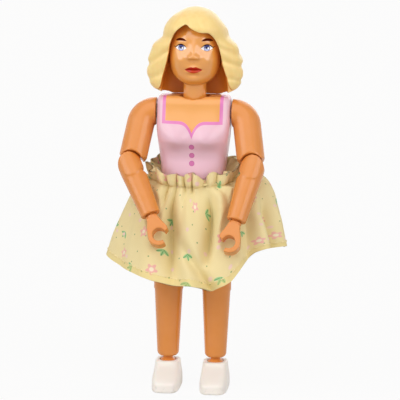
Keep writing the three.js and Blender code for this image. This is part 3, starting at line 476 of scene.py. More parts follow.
def in_stroke(graph, place, x, z, reach, arch, thick):
    return graph.group(STROKE, Place=place, Middle=(x, 0, z), Reach=reach, Arch=arch, Thick=thick)["Mask"]


SKIN_TONE, FACE_TONE, LASH_INK = screen(224, 143, 68), screen(234, 160, 72), screen(52, 30, 34)
EYE_X, EYE_Z, LIPS_Z, FACE_X = 3.6, 98.85, 92.86, 0.3


def face_print(graph, place, skin):
    """Eyes, brows and lips, printed on the front of the head."""
    place = graph.vectors("SUBTRACT", place, (FACE_X, 0.0, 0.0))
    x, y, z = graph.parts(place)
    aside = abs(x)
    front = y.rise(-2.6, -3.4)
    pair = graph.vector(aside, y, z)

    # Eye: an almond between two arched lids, with rings of the iris, a pupil and a glint
    share = (aside - EYE_X) / 1.55
    dome = 1.0 - share * share
    height = z - EYE_Z
    eye = graph.least(dome * 0.95 - height, dome * 0.74 + height).rise(-0.05, 0.07) * front
    colour = graph.mix(eye, skin, screen(250, 248, 250))
    iris = graph.mix(z.rise(EYE_Z + 0.6, EYE_Z - 0.7), screen(84, 90, 158), screen(158, 172, 222))
    rings = ((0.86, 0.04, screen(66, 66, 122)), (0.74, 0.04, iris), (0.34, 0.16, screen(34, 30, 58)))
    for radius, lift, ink in rings:
        colour = graph.mix(in_oval(graph, pair, EYE_X, EYE_Z + lift, radius, radius) * eye, colour, ink)
    for side in (RIGHT, LEFT):
        glint = in_oval(graph, place, side * EYE_X + 0.38, EYE_Z + 0.02, 0.24, 0.26)
        colour = graph.mix(glint * eye, colour, screen(250, 250, 255))

    # Upper lid, outer lash, lower lid and brow: place from the eye's middle, reach, arch, thickness and ink
    for out, up, reach, arch, thick, ink in (
        (0.06, 0.98, 1.8, 1.1, 0.19, LASH_INK),
        (1.62, 0.24, 0.6, -0.3, 0.11, LASH_INK),
        (0.1, -0.78, 1.25, -0.5, 0.06, screen(150, 92, 62)),
        (0.1, 2.42, 1.6, 0.42, 0.38, screen(88, 28, 6)),
    ):
        line = in_stroke(graph, pair, EYE_X + out, EYE_Z + up, reach, arch, thick)
        colour = graph.mix(line * front, colour, ink)

    # Lips: a bowed upper lip over a fuller lower one
    rest = graph.most(1.0 - (aside / 2.45) ** 1.7, 0.0)
    top = rest * 0.92 + LIPS_Z - aside.rise(0.75, 0.0) * 0.26
    low = LIPS_Z - rest ** 0.8 * 1.02
    lips = graph.least(top - z, z - low).rise(-0.04, 0.06) * front
    red = graph.mix(z.rise(LIPS_Z, LIPS_Z - 0.6), screen(186, 34, 0), screen(210, 60, 8))
    colour = graph.mix(lips, colour, red)
    line = in_stroke(graph, place, 0.0, LIPS_Z - 0.02, 2.5, -0.1, 0.09)
    return graph.mix(line * front, colour, screen(120, 26, 16))


NECKLINE_Z, NECKLINE_DIP, STRAP_X, TRIM_X, EDGE = 77.85, 3.7, 8.6, 7.65, 0.04
BUTTONS = (71.0, 68.5, 66.2)


def bodice_print(graph, place, pink):
    """Pink bodice with a darker trim along its neckline and straps, and three rimmed buttons."""
    x, y, z = graph.parts(place)
    aside = abs(x)
    near = graph.most(1.0 - aside / 5.0, 0.0)
    dip = near ** 3.6 * y.rise(0.2, -0.2)
    over = (z - (NECKLINE_Z - dip * NECKLINE_DIP)) / (dip + 1.0)
    inside, bare = (aside.rise(at + EDGE, at - EDGE) for at in (STRAP_X, TRIM_X))
    colour = graph.mix(over.rise(-0.46, -0.38) * inside, pink, screen(226, 128, 192))
    colour = graph.mix(over.rise(0.39, 0.47) * bare, colour, screen(240, 171, 96))
    front = y.rise(-0.5, -1.0)
    for height in BUTTONS:
        for radius, ink in ((0.76, screen(188, 88, 152)), (0.62, screen(208, 114, 172))):
            colour = graph.mix(in_oval(graph, place, 0.0, height, radius, radius) * front, colour, ink)
    return colour


def strands_and_inner_shade(graph, place, colour):
    """Faint lengthwise streaks of moulded hair, and painted shade: a deeper brownish orange on the inner wall that
    faces in towards the neck.
    """
    x, y, z = graph.parts(place)
    streak = graph.noise(graph.vector(x, y, z * 0.14), 0.8).rise(0.3, 0.7)
    colour = graph.mix(streak, screen(250, 218, 144), colour)
    # Painted shade: surfaces facing in towards the head's axis are mixed to a deep brownish orange, as if in shadow.
    facing = graph.node("ShaderNodeTexCoord").outputs["Normal"]
    away = graph.vectors("NORMALIZE", graph.vector(x, y, 0.0))
    inner = graph.vectors("DOT_PRODUCT", facing, away).rise(0.0, -0.3)
    return graph.mix(inner, colour, screen(226, 146, 54))


def scuffs(graph, place, colour):
    """Greyer, worn patches near the sole."""
    worn = graph.noise(place, 0.9, 4.0).rise(0.52, 0.75) * graph.parts(place)[2].rise(3.0, 0.4)
    return graph.mix(worn, colour, screen(226, 221, 214))


SKIN = plastic("skin_plastic", SKIN_TONE, gloss=0.22, soften=0.05, sheen=0.45)
FACE = plastic("face_plastic", FACE_TONE, gloss=0.15, soften=0.05, sheen=0.0, print_on=face_print, clear=1.72)
BODICE = plastic("bodice_plastic", screen(235, 194, 211), gloss=0.2, mottle=0.02, soften=0.05, sheen=0.5,
                 print_on=bodice_print)
HAIR = plastic("hair_plastic", screen(252, 223, 152), gloss=0.34, mottle=0.03, soften=0.15, print_on=strands_and_inner_shade)
SHOE = plastic("shoe_plastic", screen(245, 241, 236), gloss=0.42, mottle=0.03, soften=0.08, print_on=scuffs)
PIN = plastic("pin_plastic", screen(217, 212, 204), gloss=0.5)

CLOTH_WIDTH, CLOTH_LENGTH, RUFFLE_LENGTH, HEM_TURN = 157.0, 33.0, 4.0, 2.1


def cloth_print(graph, place):
    """Scattered five-petal flowers, sprigs of three leaves and dots on yellow, each turned its own way."""

    def scatter(scale, shift):
        """The place within a spot as it is turned, the distance from its middle, and the spot's chances."""
        spot = graph.vectors("ADD", place, shift)
        cell = graph.node("ShaderNodeTexVoronoi", {"voronoi_dimensions": "2D"},
                          Vector=spot, Scale=scale, Randomness=0.62).outputs
        chance = graph.wires(graph.node("ShaderNodeSeparateColor", Color=cell["Color"]))
        spun = graph.node("ShaderNodeVectorRotate", {"rotation_type": "Z_AXIS"}, Angle=chance[0] * FULL_TURN,
                          Vector=graph.vectors("SUBTRACT", spot, cell["Position"]))
        x, y, _ = graph.parts(spun.outputs[0])
        return x, y, graph.vectors("LENGTH", graph.vector(x, y, 0.0)), chance

    ground = graph.mix(graph.noise(place, 0.12), screen(232, 215, 160), screen(239, 225, 176))
    x, y, radius, chance = scatter(0.105, (0.0, 0.0, 0.0))
    petals = graph.maths("COSINE", graph.maths("ARCTAN2", y, x) * 5.0) * 0.4 + 1.4
    blossom = graph.maths("GREATER_THAN", chance[1], 0.46)
    flower = (petals - radius).rise(-0.12, 0.12) * blossom
    rosy = graph.mix(chance[2].rise(0.3, 0.7), screen(236, 172, 164), screen(238, 186, 176))
    colour = graph.mix(flower, ground, rosy)
    colour = graph.mix(radius.rise(0.8, 0.5) * blossom, colour, screen(244, 232, 204))

    for lean in (-0.95, 0.0, 0.95):
        along = x * math.cos(lean) + y * math.sin(lean)
        aside = y * math.cos(lean) - x * math.sin(lean)
        long, wide = (along - 0.95) / 1.08, abs(aside) / 0.46
        leaf = (long * long + wide * wide).rise(1.15, 0.75) * (1.0 - blossom)
        colour = graph.mix(leaf, colour, screen(164, 208, 152))
        colour = graph.mix(wide.rise(0.34, 0.14) * leaf, colour, screen(104, 160, 104))

    for scale, shift, size, ink in (
        (0.15, (31.7, 12.3, 0.0), 0.62, screen(241, 212, 200)),
        (0.2, (11.2, 44.9, 0.0), 0.24, screen(150, 170, 120)),
    ):
        _, _, radius, chance = scatter(scale, shift)
        dot = radius.rise(size + 0.08, size - 0.08) * graph.maths("GREATER_THAN", chance[1], 0.4)
        colour = graph.mix(dot * (1.0 - flower), colour, ink)
    band = graph.parts(place)[1].rise(HEM_TURN + 0.1, HEM_TURN - 0.1) * 0.3
    return graph.mix(band, colour, screen(232, 208, 116))


def woven(graph, shader, place, colour, thread, strength, depth, roughness):
    weave = graph.group(WEAVE, Place=place, Thread=thread)
    tint = graph.node("ShaderNodeHueSaturation", Color=colour, Value=weave["Shade"])
    bump = graph.node("ShaderNodeBump", Strength=strength, Distance=depth * MM, Height=weave["Height"])
    graph.fill(shader, Base_Color=tint.outputs["Color"], Normal=bump.outputs["Normal"], Roughness=roughness)


def cloth(name, printed, thread):
    material, graph, shader = new_material(name)
    flat = graph.node("ShaderNodeUVMap", {"uv_map": "cloth"}).outputs[0]
    place = graph.vectors("MULTIPLY", flat, (CLOTH_WIDTH, CLOTH_LENGTH, 0.0))
    woven(graph, shader, place, printed(graph, place), thread, strength=0.3, depth=0.05, roughness=0.92)
    graph.fill(shader, Specular_IOR_Level=0.2, Sheen_Weight=0.12, Sheen_Roughness=0.5)
    return material


def thread_colour(graph, place):
    return graph.mix(graph.noise(place, 2.0), screen(236, 214, 150), screen(250, 240, 206))


def elastic():
    material, graph, shader = new_material("elastic_cloth")
    x, y, z = graph.parts(graph.place())
    around = graph.maths("ARCTAN2", y, x) * 9.0
    woven(graph, shader, graph.vector(around, z, 0.0), screen(242, 238, 228),
          thread=0.5, strength=0.4, depth=0.08, roughness=0.9)
    return material


CLOTH = cloth("skirt_cloth", cloth_print, thread=0.34)
THREAD = cloth("stitch_thread", thread_colour, thread=0.2)
ELASTIC = elastic()


# Torso: two shells that meet at the sides, with a bust, rounded shoulders and a collar for the neck

WAIST_Z, SHOULDER_Z, TORSO_TOP_Z, COLLAR_Z = 60.1, 82.6, 84.9, 82.7
TORSO_WAIST_HALF_WIDTH, CHEST_HALF_WIDTH, BUST_Z, SEAM_HALF_GAP = 9.0, 10.45, 73.0, 0.06


def torso_ring(z):
    chest = blend_between(WAIST_Z, 77.7, z)
    top = blend_between(75.3, TORSO_TOP_Z, z)
    inset = rounded_edge((z - SHOULDER_Z) / (TORSO_TOP_Z - SHOULDER_Z))
    half_width = mixed(TORSO_WAIST_HALF_WIDTH, CHEST_HALF_WIDTH, chest) - 0.9 * inset
    front = mixed(mixed(6.0, 6.4, chest), 5.0, top) - 2.0 * inset
    back = mixed(mixed(5.2, 5.8, chest), 5.0, top) - 0.1 * inset
    ring = oval(z, half_width, front, back, mixed(3.4, 4.8, blend_between(70, 78, z)), sides=200)
    x, y = ring[:, 0], ring[:, 1]
    bust = (1.8 * hill(np.abs(x), 4.2, 3.6) + 0.9) * hill(z, BUST_Z, 4.6 if z > BUST_Z else 2.5)
    belly = 0.5 * hill(x, 0, 5.5) * hill(z, 62.5, 2.8) - 0.3 * hill(x, 0, 8.0) * hill(z, 67.4, 1.5)
    ring[:, 1] -= np.where(y < 0, (bust + belly) * blend_between(0.0, 4.0, -y), 0)
    return ring


def torso():
    roll = SHOULDER_Z + (TORSO_TOP_Z - SHOULDER_Z) * np.sin(np.linspace(0, QUARTER_TURN, 14))
    heights = np.concatenate([np.linspace(WAIST_Z, SHOULDER_Z - 0.2, 76), roll])
    whole = loft("torso", [torso_ring(z) for z in heights])
    collar = lathe("collar", [(3.55, COLLAR_Z), (4.4, 84.6), (4.9, 86.5)])
    cut(whole, turned(collar, Matrix.Translation((0, -0.25, 0))))
    room = 30.0
    for part, side in (("front", -1), ("back", 1)):
        half = placed(f"torso_shell_{part}", whole.data.copy())
        low, high = sorted((side * SEAM_HALF_GAP, -side * room))
        cut(half, prism("away", [(-room, 50), (room, 50), (room, 95), (-room, 95)], low, high))
        moulded(half, grain=0.26, rounds=5)
        finished(half, DOLL, "torso", BODICE, f"torso_{part}")
    used_up(whole)


# Head: a sculpted face on a rounded skull, with the neck

CHIN_Z, CROWN_Z, WIDEST_Z, CHIN_FULLNESS = 88.0, 107.6, 97.0, 0.5
SKULL_HALF_WIDTH, SKULL_FRONT, SKULL_BACK, SKULL_SQUARENESS = 7.4, 7.4, 7.0, 2.2
NOSE = [(95.6, 0), (96.0, 1.1), (96.6, 1.4), (97.8, 0.85), (99.4, 0.35), (101.2, 0.05), (103, 0)]
# Small forms of the face: distance from its middle, height, half-width, half-height and how far they stand out
FACE_FORMS = [
    (1.15, 96.15, 0.6, 0.55, 0.45),  # nostrils
    (3.2, 101.6, 2.6, 1.3, 0.1),  # brows
    (EYE_X, EYE_Z, 1.7, 1.1, -0.42),  # eye sockets
    (4.1, 95.2, 2.5, 2.0, 0.55),  # cheeks
    (0.0, LIPS_Z + 0.55, 1.9, 0.5, 0.45),  # upper lip
    (0.0, LIPS_Z - 0.6, 1.6, 0.5, 0.55),  # lower lip
    (0.0, LIPS_Z, 2.3, 0.2, -0.28),  # line between the lips
    (0.0, LIPS_Z - 1.6, 1.7, 0.45, -0.3),  # hollow under the lips
    (0.0, 89.9, 1.9, 1.0, 0.4),  # chin
    (0.0, LIPS_Z + 1.8, 0.4, 0.5, -0.12),  # groove over the lips
]


def face_out(x, z):
    """How far the face stands out of the plain skull."""
    out = curve_through(NOSE, z) * hill(x, 0, 0.95 + 0.45 * hill(z, 96.3, 0.8))
    for at_x, at_z, wide, tall, amount in FACE_FORMS:
        out += amount * hill(np.abs(x), at_x, wide) * hill(z, at_z, tall)
    return out


def skull_levels(limit, count):
    """Heights from the chin to the crown, close together at both, and the skull's share of its full girth there."""
    for up in np.sin(np.radians(np.linspace(-limit, limit, count))):
        span, roundness = (CROWN_Z - WIDEST_Z, 2.2) if up > 0 else (WIDEST_Z - CHIN_Z, 2.4)
        yield WIDEST_Z + up * span, (1 - abs(up) ** roundness) ** (1 / roundness)


def head():
    rings = []
    for z, share in skull_levels(87, 130):
        front = SKULL_FRONT * (share ** CHIN_FULLNESS if z < WIDEST_Z else share)
        ring = oval(z, SKULL_HALF_WIDTH * share, front, SKULL_BACK * share, SKULL_SQUARENESS, sides=180)
        facing = blend_between(0.15, 0.75, -ring[:, 1] / front)
        ring[:, 1] -= face_out(ring[:, 0] - FACE_X, z) * facing
        rings.append(ring)
    skull = loft("head_skin", rings)
    neck = lathe("neck", [(3.1, 83.0), (3.25, 83.15), (3.25, 88.0), (3.5, 90.5), (3.6, 94.0)], sides=96)
    joined(skull, neck, lathe("shaft", [(2.2, 80.6), (2.2, 83.5)]))
    moulded(skull, grain=0.17, rounds=3)
    finished(skull, DOLL, "head", FACE, "head")


# Hair: one moulding of broad waves from a side parting

HAIR_END_Z, HAIR_TOP_Z, HAIR_ROOM, PARTING_X = 84.96, 110.0, 0.25, -2.0
# Half-widths, fronts and backs at heights from its end to its top
HAIR_SIDES = [(HAIR_END_Z, 7.6), (85.8, 9.6), (87.0, 11.9), (88.1, 12.8), (89.6, 13.5), (91.6, 13.7), (94.6, 13.5),
              (97.3, 12.6), (99.2, 11.9), (100.5, 10.5), (101.7, 9.4), (104.2, 8.7), (106.5, 7.1), (108.8, 4.2),
              (109.7, 2.0), (HAIR_TOP_Z, 0.5)]
HAIR_FRONTS = [(HAIR_END_Z, 4.6), (88.0, 5.4), (92.9, 6.0), (99.0, 7.2), (104.1, 8.9), (107.1, 7.3), (108.8, 5.0),
               (109.7, 2.4), (HAIR_TOP_Z, 0.6)]
HAIR_BACKS = [(HAIR_END_Z, 7.2), (86.1, 8.5), (88.0, 9.4), (91.6, 9.8), (97.8, 10.0), (104.1, 9.2), (107.1, 7.2),
              (108.8, 4.8), (109.7, 2.2), (HAIR_TOP_Z, 0.6)]
HAIRLINE = [(-13.6, 84.4), (-11.7, 86.1), (-9.9, 86.9), (-9.2, 88.2), (-8.6, 90.6), (-7.5, 94.6), (-6.9, 97.4),
            (-6.5, 99.7), (-5.6, 102.0), (-4.3, 103.9), (-2.0, 105.4), (-0.5, 104.5), (1.15, 103.6), (2.6, 103.2),
            (4.5, 103.1), (5.8, 101.8), (6.8, 99.9), (7.6, 97.4), (8.1, 94.6), (9.3, 90.6), (10.0, 88.2),
            (10.7, 86.9), (12.3, 86.1), (14.2, 84.4)]
# Hollows between the waves of each side: where they start (distance out, height), slope, width and depth
HAIR_HOLLOWS = {
    RIGHT: [(7.6, 97.6, -0.67, 0.8, 0.55), (9.5, 91.2, -0.5, 0.9, 0.45), (7.0, 101.6, -0.2, 0.8, 0.3)],
    LEFT: [(8.5, 95.4, -0.39, 0.8, 0.55), (10.9, 90.1, -0.29, 0.7, 0.45), (8.5, 98.7, -0.5, 0.8, 0.35)],
}


def smooth_outline(corners, steps=6):
    """An outline of rounded turns through its corners."""
    points = np.array(corners, float)
    line = []
    for i in range(1, len(points) - 2):
        before, start, end, after = points[i - 1:i + 3]
        for t in np.linspace(0, 1, steps, endpoint=False):
            line.append(0.5 * (2 * start + (end - before) * t + (2 * before - 5 * start + 4 * end - after) * t * t
                               + (3 * start - before - 3 * end + after) * t ** 3))
    return [points[0], *line, points[-2], points[-1]]


def hair_out(x, y, z):
    """Waves, hollows and the parting, as a move along the moulding's outward direction."""
    side = np.abs(x)
    out = np.zeros_like(x)
    for hand_side, hollows in HAIR_HOLLOWS.items():
        here = blend_between(4.0, 7.5, hand_side * x)
        for start, height, slope, width, depth in hollows:
            out -= here * depth * hill(z, height + slope * (side - start), width)
    behind = blend_between(-1.0, 4.0, y)
    sweep = z + 0.35 * side + 0.9 * np.sin(0.42 * x)
    out += behind * 0.38 * np.cos(FULL_TURN * sweep / 6.6)
    out += behind * 0.22 * np.cos(1.15 * x + 0.5 * np.sin(0.5 * z))
    crown = blend_between(99.0, 104.0, z)
    out -= crown * 0.25 * hill(x, PARTING_X + 0.06 * (y + 5), 0.55) * blend_between(4.0, -1.0, y)
    fan = np.arctan2(x - PARTING_X, 6.0)
    out += crown * 0.12 * np.cos(9.0 * fan + 0.25 * y)
    return out


def hair():
    heights = np.concatenate([np.linspace(HAIR_END_Z, 88, 20)[:-1], np.linspace(88, 107, 90)[:-1],
                              np.linspace(107, HAIR_TOP_Z, 26)])
    rings = []
    for z in heights:
        sizes = [float(curve_through(knots, z)) for knots in (HAIR_SIDES, HAIR_FRONTS, HAIR_BACKS)]
        ring = oval(z, *sizes, squareness=2.3, sides=220)
        flat = np.linalg.norm(ring[:, :2], axis=1, keepdims=True)
        share = np.clip(flat / 4.0, 0, 1)
        ring[:, :2] *= 1 + share * hair_out(*ring.T)[:, None] / flat
        rings.append(ring)
    cap = loft("hair_cap", rings)
    opening = prism("opening", smooth_outline(HAIRLINE), -30.0, -1.0)
    face_room = loft("face_room", [oval(z, half_width, 30.0, 3.8, 3.0) for z, half_width in (
        (84.0, 9.4), (88.0, 9.2), (91.0, 8.6), (93.5, 7.6))])
    skull_room = loft("skull_room", [
        oval(z, *(size * share + HAIR_ROOM for size in (SKULL_HALF_WIDTH, SKULL_FRONT, SKULL_BACK)), SKULL_SQUARENESS)
        for z, share in skull_levels(86, 60)])
    cut(cap, opening, face_room, skull_room)
    moulded(cap, grain=0.22, rounds=6)
    finished(cap, DOLL, "head", HAIR, "hair")


# Hinges: a knuckle on the lower limb turns about a pin in the arched end of the upper one

HINGE_GAP, TONGUE_RADIUS, TONGUE_HALF, SLOT_RADIUS, SLOT_HALF = 0.3, 1.7, 0.8, 2.0, 1.1
# How far cutters reach, past any limb
REACH = 14.0


def slope_height(degrees):
    """How high a slope from the hinge stands at a cutter's reach."""
    return REACH * math.tan(math.radians(degrees))


def upper_end(knuckle_radius):
    """What is taken off the end of an upper limb round its hinge."""
    wedge = [(0, 0), (REACH, slope_height(40)), (REACH, -REACH), (-REACH, -REACH), (-REACH, slope_height(36))]
    arch = rod("arch", knuckle_radius + HINGE_GAP, -REACH + 1, REACH - 1)
    return joined(prism("wedge", wedge, -REACH, REACH), arch)


def tongue():
    outline = [(TONGUE_RADIUS, 5.5), (-TONGUE_RADIUS, 5.5), *arc(TONGUE_RADIUS, 180, 360, 25)]
    return prism("tongue", outline, -TONGUE_HALF, TONGUE_HALF)


def lower_limb(name, knuckle_radius, stations):
    """A lower limb with the knuckle that it hinges on, and the slot for the upper limb's tongue."""
    limb = tube(name, stations)
    wedge = [(0, 0), (-REACH, -slope_height(12)), (-REACH, REACH), (REACH, REACH), (REACH, -slope_height(48))]
    cut(limb, prism("wedge", wedge, -REACH, REACH))
    girth = stations[-1][3]
    knuckle = rod("knuckle", knuckle_radius, -REACH, REACH)
    shaped(knuckle, "INTERSECT", lathe("girth", [(girth, -5.0), (girth, 5.0)], sides=96))
    joined(limb, knuckle)
    slot = [(-SLOT_RADIUS, 7.0), *arc(SLOT_RADIUS, 180, 278, 15), (6.2, -1.15), (6.2, 7.0)]
    return cut(limb, prism("slot", slot, -SLOT_HALF, SLOT_HALF))


def limb_place(at, down, hinge):
    """Row frame of a limb: +Z up along it, +Y along its hinge and +X the way that it bends."""
    up = -Vector(down).normalized()
    side = Vector(hinge).normalized()
    place = Matrix((side.cross(up), side, up)).transposed().to_4x4()
    place.translation = at
    return place @ Matrix.Scale(MM, 4)


# Arms

ARM_RADIUS, ARM_FACE, ARM_BEND, ARM_TILT = 3.95, -0.3, 4.2, 8.8
FOREARM_LENGTH, FOREARM_RADIUS, WRIST_RADIUS, ELBOW_KNUCKLE = 15.5, 3.6, 2.75, 3.5
GRIP_RADIUS, GRIP_OUTER, GRIP_HALF_WIDTH, WRIST_HALF_WIDTH = 1.85, 3.3, 1.95, 1.6
PALM = [(-3.05, 0.9), (-2.55, 2.7), (-1.75, 4.6), (-1.55, 5.6), (1.6, 5.6), (1.75, 4.9), (2.3, 3.3), (2.95, 1.6),
        (2.95, 0.75)]


def arm(side):
    name = NAMES[side]
    shoulder, elbow, wrist = (JOINTS[f"{name}_{joint}"] for joint in ("shoulder", "elbow", "wrist"))
    hinge = Vector(elbow["axis"]) * side
    upper_place = limb_place(shoulder["pos_m"], Vector((side, 0, 0)).cross(hinge), hinge)
    lower_place = limb_place(elbow["pos_m"], wrist["axis"], hinge)
    hand_place = limb_place(wrist["pos_m"], wrist["axis"], hinge)

    tilt = math.radians(ARM_TILT)
    hinge_at = upper_place.inverted() @ Vector(elbow["pos_m"])
    stations = [(hinge_at.x - along * math.sin(tilt), hinge_at.z - along * math.cos(tilt), tilt, ARM_RADIUS)
                for along in np.linspace(5.0, -13.0, 30)]
    stations += [(ARM_FACE - 0.2 - ARM_BEND * math.sin(turn), ARM_BEND * (math.cos(turn) - 1), QUARTER_TURN - turn,
                  ARM_RADIUS) for turn in np.radians(np.linspace(90 - ARM_TILT, 0, 22))]
    stations.append((ARM_FACE, 0.0, QUARTER_TURN, ARM_RADIUS))
    upper = tube(f"arm_upper_{name}", stations)
    at_hinge = Matrix.Translation(hinge_at) @ Matrix.Rotation(tilt, 4, "Y")
    cut(upper, turned(upper_end(ELBOW_KNUCKLE), at_hinge))
    joined(upper, turned(tongue(), at_hinge))
    moulded(upper, grain=0.22, rounds=4)
    skin_limb(upper, upper_place, f"{name}_upper_arm")

    stations = [(0, z, 0, mixed(WRIST_RADIUS, FOREARM_RADIUS, min(1.0, (z + FOREARM_LENGTH) / FOREARM_LENGTH)))
                for z in np.linspace(-FOREARM_LENGTH, 4.0, 34)]
    lower = lower_limb(f"arm_lower_{name}", ELBOW_KNUCKLE, stations)
    cut(lower, lathe("bore", [(1.5, -FOREARM_LENGTH - 1), (1.5, -FOREARM_LENGTH + 3.3)]))
    moulded(lower, grain=0.2, rounds=4)
    skin_limb(lower, lower_place, f"{name}_forearm")
    skin_limb(hand(f"hand_{name}"), hand_place, f"{name}_hand")


def hand(name):
    """A mitten with a round grip, open below its thumb, on the peg that turns in the wrist."""
    finger = [(GRIP_OUTER * share * math.cos(turn), GRIP_OUTER * share * math.sin(turn))
              for share, turn in zip(np.linspace(0.86, 1.0, 30) ** 0.6, np.radians(np.linspace(283, 188, 30)))]
    grip = prism(name, [*arc(GRIP_RADIUS, 4, 283, 60), *finger, *PALM], -3.0, 3.0)
    flank = [(GRIP_HALF_WIDTH, -5), (GRIP_HALF_WIDTH, 2.2), (WRIST_HALF_WIDTH, 5.0), (WRIST_HALF_WIDTH, 7)]
    flank += [(-x, z) for x, z in reversed(flank)]
    shaped(grip, "INTERSECT", turned(prism("flank", flank, -6, 6), Matrix.Rotation(QUARTER_TURN, 4, "Z")))
    wrist = lathe("wrist", [(1.6, 4.6), (1.65, 5.6), (1.75, 6.35)])
    joined(grip, wrist, lathe("peg", [(1.3, 5.5), (1.3, 9.5)]))
    return moulded(grip, grain=0.13, rounds=12)


# Legs

THIGH_LENGTH, THIGH_RADIUS, HIP_RADIUS, KNEE_KNUCKLE = 18.5, 4.3, 4.4, 3.8
SHIN_LENGTH, SHIN_END, SHIN_ROUND, SHIN_TOP_RADIUS, SHIN_RADIUS = 22.2, 23.6, 1.3, 4.25, 3.15
ANKLE_Z, BALL_RADIUS, SOCKET_RADIUS = 10.4, 1.95, 2.15
STUD = [(1.3, 3.7), (1.4, 3.85), (1.4, 6.9), (2.2, 6.95), (2.3, 7.1), (2.3, 7.5), (2.18, 7.75), (1.85, 8.05),
        (1.5, 8.4), (1.26, 8.7), (1.2, 8.84)]
SHOE_HEIGHT, SHOE_SQUARENESS, SOLE_EDGE, RIM_EDGE = 7.9, 4.2, 0.5, 0.4


def leg(side):
    name = NAMES[side]
    down, hinge = (0, 0, -1), (-1, 0, 0)
    thigh_place, shin_place = (limb_place(JOINTS[f"{name}_{joint}"]["pos_m"], down, hinge)
                               for joint in ("hip", "knee"))
    thigh = tube(f"leg_upper_{name}", [(0, z, 0, THIGH_RADIUS) for z in np.linspace(-THIGH_LENGTH - 5, 0, 34)])
    knee_at = Matrix.Translation((0, 0, -THIGH_LENGTH))
    cut(thigh, turned(upper_end(KNEE_KNUCKLE), knee_at))
    joined(thigh, turned(tongue(), knee_at), rod("hip", HIP_RADIUS, -4.0, 4.0))
    moulded(thigh, grain=0.24, rounds=4)
    skin_limb(thigh, thigh_place, f"{name}_thigh")

    stations = []
    for turn in np.radians(np.linspace(0, 90, 9)):
        drop = SHIN_END - SHIN_ROUND * (1 - math.cos(turn))
        stations.append((0, -drop, 0, SHIN_RADIUS - SHIN_ROUND * (1 - math.sin(turn))))
    for z in np.linspace(-SHIN_END + SHIN_ROUND, 4.0, 40)[1:]:
        share = min(1.0, (z + SHIN_LENGTH) / SHIN_LENGTH)
        stations.append((0, z, 0, mixed(SHIN_RADIUS, SHIN_TOP_RADIUS, share)))
    shin = lower_limb(f"leg_lower_{name}", KNEE_KNUCKLE, stations)
    socket = arc(SOCKET_RADIUS, -52, 88, 20, z=-SHIN_LENGTH)
    cut(shin, lathe("socket", [(2.1, -SHIN_END - 0.4), (1.75, -SHIN_LENGTH - 0.95), *socket[1:]]))
    moulded(shin, grain=0.22, rounds=4)
    skin_limb(shin, shin_place, f"{name}_shin")

    x = (JOINTS[f"{name}_ankle_tilt"]["pos_m"][0] - NECK[0]) / MM
    foot_place = DOLL @ Matrix.Translation((x, 0, 0))
    # A stud: a ball in the shin, a slim neck, and a flare over the peg in the shoe
    stud = lathe(f"ankle_{name}", [*STUD, *arc(BALL_RADIUS, -50, 88, 24, z=ANKLE_Z)])
    finished(stud, foot_place, f"{name}_ankle", SKIN, f"{name}_ankle_stud")
    finished(shoe(f"slip_on_{name}"), foot_place, f"{name}_shoe", SHOE, f"{name}_shoe")


def shoe(name):
    rim_z = SHOE_HEIGHT - RIM_EDGE
    turn = np.linspace(0, QUARTER_TURN, 9)
    rings = []
    for z in np.concatenate([SOLE_EDGE - SOLE_EDGE * np.cos(turn), np.linspace(SOLE_EDGE, rim_z, 48)[1:],
                             rim_z + RIM_EDGE * np.sin(turn)[1:]]):
        closing = float(blend_between(0.3, 1.0, z / SHOE_HEIGHT))
        inset = 0.45 * rounded_edge(1 - z / SOLE_EDGE) + 0.4 * rounded_edge((z - rim_z) / RIM_EDGE)
        half_width = mixed(4.05, 3.5, closing) - inset
        toe = mixed(10.0, 3.5, closing ** 0.8) - inset
        heel = mixed(4.4, 3.45, closing) - inset
        rings.append(oval(z, half_width, toe, heel, SHOE_SQUARENESS, sides=160))
    body = loft(name, rings)
    cut(body, lathe("mouth", [(1.55, 3.5), (1.55, 6.6), (2.42, 6.7), (2.42, 9.0)]))
    return moulded(body, grain=0.2, rounds=4)


# Skirt: gathered cloth with a frilled heading. Angles run from the front, + to the doll's left.

WAIST_LINE_Z, WAIST_TILT, WAIST_SQUARENESS = 61.5, 2.1, 3.4
WAIST_HALF_WIDTH, WAIST_FRONT, WAIST_BACK = 10.95, 7.8, 7.0
FRILL_HEIGHT, FRILL_FLARE = 3.7, 0.9
# How soon the cloth spreads below the waist: over 1 late and hollow, under 1 soon and full
FRONT_SPREAD, SIDE_SPREAD, LEFT_FULLNESS = 1.15, 0.5, 0.32
HEM_SWAY, HEM_HALF_WIDTH, HEM_FRONT, HEM_BACK = 1.2, 25.2, 18.5, 17.0
HEM_LINE = [(-180, 38.0), (-135, 38.2), (-90, 38.5), (-65, 37.4), (-42, 35.9), (-24, 34.2), (-10, 33.6), (4, 32.9),
            (13, 32.8), (20, 33.3), (26, 34.6), (31, 36.9), (37, 39.9), (42, 41.4), (48, 43.0), (60, 43.3),
            (73, 43.0), (90, 42.0), (135, 40.2), (180, 38.0)]
